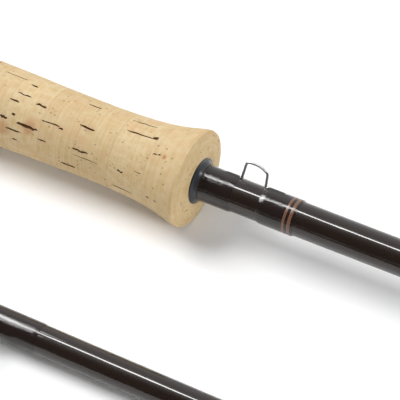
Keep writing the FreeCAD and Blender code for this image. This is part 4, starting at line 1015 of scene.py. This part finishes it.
# ---- Guides and wraps of the loose sections ----
# Bright wire guides, each foot tied down by a thread wrap under epoxy. Section 2 carries two
# stripping guides with hard ring liners, sections 3 and 4 carry snake guides, and the tip ends
# in a wire loop on a short tube.
guide_steel = steel_finish("guide_chrome", (0.60, 0.60, 0.61), 0.16)
GUIDE_WIRE = 0.5 * MM
FOOT_WRAP = 17 * MM
FOOT_LIFT = 0.34 * MM
FOOT_HALF_WIDTH = 1.5 * MM
RIDGE_TUCK = 1.5 * MM
RIDGE_REACH = 6 * MM
FERRULE_WRAP = (0.5 * MM, 36.5 * MM)
SECTION_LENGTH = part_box("blank_2")[1].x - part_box("blank_2")[0].x
TOWARDS_CAMERA = {"blank_2": math.radians(-74), "blank_3": math.radians(-90),
                  "blank_4": math.radians(-90)}
STRIPPERS = {  # distance along the section, ring radius, height of the ring, half length
    "large_stripping_guide": (312, 7.8, 13.2, 11),
    "small_stripping_guide": (611, 5.9, 10.2, 9),
}
SNAKES = {"blank_3": ((205, 434, 637), 1.0), "blank_4": ((143, 308, 460, 600), 0.8)}


def section_wraps(name, body, spans, feet, replaced):
    """All the wraps of one section as one piece, raised where the guide feet lie."""
    axis = middle(name)
    finish_of = thread_finish(f"{replaced}_thread", axis, (0.006, 0.0025, 0.0018, 1),
                              (0.014, 0.0055, 0.0035, 1))
    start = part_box(name)[0].x
    bm = bmesh.new()
    for first, last in spans:
        lathe(bm, wrap_outline(name, start + first, start + last, 0.14 * MM,
                               rise=0.0), axis, 96)
    for first, last in feet:
        ridge_over(bm, axis, TOWARDS_CAMERA[name], start + first, start + last, FOOT_LIFT,
                   FOOT_HALF_WIDTH, blank_radius(name, start + first) - 0.05 * MM)
    as_piece(f"{replaced}_bound", bm, [finish_of], body, [replaced], 60)


def over_feet(place, half, tuck):
    """The wrap over each foot of a guide, and the stretch that the foot raises."""
    wraps = []
    raised = []
    for away in (-1, 1):
        inner = place + away * (half - tuck)
        wraps.append(sorted((inner, inner + away * FOOT_WRAP)))
        raised.append(sorted((place + away * (half - tuck - RIDGE_TUCK),
                              place + away * (half + RIDGE_REACH))))
    return wraps, raised


def round_section(x, radius, half_width, half_depth, count=14):
    """The rounded section of a ring, to be turned about its own axis."""
    return [(x + half_width * math.cos(2 * math.pi * part / count),
             radius + half_depth * math.sin(2 * math.pi * part / count))
            for part in range(count)]


def mesh_from(bm, name):
    mesh = bpy.data.meshes.new(name)
    bm.to_mesh(mesh)
    bm.free()
    return mesh


axis = middle("blank_2")
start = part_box("blank_2")[0].x
turn = TOWARDS_CAMERA["blank_2"]
spans = [FERRULE_WRAP]
feet = []
liners = bmesh.new()
for name, (distance, ring_radius, stand, half) in STRIPPERS.items():
    base = blank_radius("blank_2", start + distance * MM) + GUIDE_WIRE
    centre_height = base + stand * MM
    x0 = start + distance * MM
    centre = next(leaned(axis, turn, [(x0, 0, centre_height)]))
    ring = bmesh.new()
    lathe(ring, round_section(x0, ring_radius * MM, 0.85 * MM, 0.75 * MM), centre, 72)
    lathe(liners, round_section(x0, (ring_radius - 1.2) * MM, 1.3 * MM, 0.5 * MM), centre, 72)
    lines = [[(x0, 0, centre_height - (ring_radius + 0.1) * MM),
              (x0 - 0.45 * half * MM, 0, base + 0.42 * (stand - ring_radius) * MM),
              (x0 - 0.8 * half * MM, 0, base + 0.1 * MM), (x0 - half * MM, 0, base - 0.6 * MM),
              (x0 - (half + 5) * MM, 0, base - 0.8 * MM)]]
    for side in (-1, 1):
        spread = side * math.radians(55)
        reach = ring_radius * MM * math.sin(spread)
        low = centre_height - ring_radius * MM * math.cos(spread)
        lines.append([(x0, reach, low), (x0 + 0.45 * half * MM, reach * 0.6, base
                                         + 0.55 * (low - base)),
                      (x0 + 0.8 * half * MM, side * 0.6 * MM, base + 0.2 * MM),
                      (x0 + half * MM, side * 0.5 * MM, base - 0.6 * MM),
                      (x0 + (half + 5) * MM, side * 0.4 * MM, base - 0.8 * MM)])
    legs = wire_mesh(name, [list(leaned(axis, turn, line)) for line in lines], GUIDE_WIRE)
    wire_piece(f"{name}_frame", [mesh_from(ring, name), legs], guide_steel, "section_2",
               [name])
    wraps, raised = over_feet(distance * MM, half * MM, 4 * MM)
    spans += wraps
    feet += raised
section_wraps("blank_2", "section_2", spans, feet, "wraps_2")
made, tree, shader = finish("liner_ceramic", Roughness=0.12, Coat_Weight=0.5)
cloud = node(tree, "TexNoise", Scale=900, Detail=2)
plug(tree, shader.inputs["Base Color"], blend_of(
    tree, cloud.outputs[0], (0.07, 0.07, 0.078, 1), (0.12, 0.12, 0.13, 1)))
as_piece("guide_ring_liners_polished", liners, [made], "section_2",
         ["guide_ring_liners"], 60)

for name, (distances, scale) in SNAKES.items():
    axis = middle(name)
    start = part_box(name)[0].x
    turn = TOWARDS_CAMERA[name]
    number = name[-1]
    half = 8.5 * scale * MM
    width = 3.1 * scale * MM
    spans = [FERRULE_WRAP]
    feet = []
    runs = []
    for distance in distances:
        x0 = start + distance * MM
        base = blank_radius(name, x0) + GUIDE_WIRE
        top = base + 5.6 * scale * MM - GUIDE_WIRE
        climb = [(half + 5 * MM, 0, base - 0.8 * MM), (half + 1.5 * MM, 0, base - 0.55 * MM),
                 (half - MM, 0, base - 0.2 * MM),
                 (0.62 * half, 0.6 * width, base + 0.12 * (top - base)),
                 (0.42 * half, width, base + 0.5 * (top - base)),
                 (0.2 * half, 0.75 * width, base + 0.9 * (top - base))]
        line = [(-x, -side, up) for x, side, up in climb] + [(0, 0, top)] + climb[::-1]
        runs.append(list(leaned(axis, turn, [(x0 + x, side, up) for x, side, up in line])))
        wraps, raised = over_feet(distance * MM, half, 2 * MM)
        spans += wraps
        feet += raised
    if name == "blank_4":
        spans.append((SECTION_LENGTH - 24 * MM, SECTION_LENGTH - 8.1 * MM))
    section_wraps(name, f"section_{number}", spans, feet, f"wraps_{number}")
    wire_piece(f"snake_guides_{number}_bent", [wire_mesh(f"snakes_{number}", runs, GUIDE_WIRE)],
               guide_steel, f"section_{number}", [f"snake_guides_{number}"])

TIP_LOW, TIP_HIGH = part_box("tip_top")
TIP_LOOP = 2.4 * MM
tip_inner = blank_radius("blank_4", TIP_LOW.x)
ring = bmesh.new()
lathe(ring, rounded_by([(TIP_LOW.x, tip_inner), (TIP_LOW.x, tip_inner + 0.35 * MM),
                        (TIP_LOW.x + 7.9 * MM, tip_inner + 0.3 * MM),
                        (TIP_LOW.x + 7.9 * MM, tip_inner * 0.5)], 0.08 * MM), axis, 32)
loop_centre = Vector((TIP_HIGH.x - GUIDE_WIRE, TIP_LOW.y + TIP_LOOP + GUIDE_WIRE, axis.z))
lathe(ring, round_section(loop_centre.x, TIP_LOOP, GUIDE_WIRE, GUIDE_WIRE, 12), loop_centre, 40)
wire_piece("tip_top_loop", [mesh_from(ring, "tip_top")], guide_steel, "section_4",
           ["tip_top"])
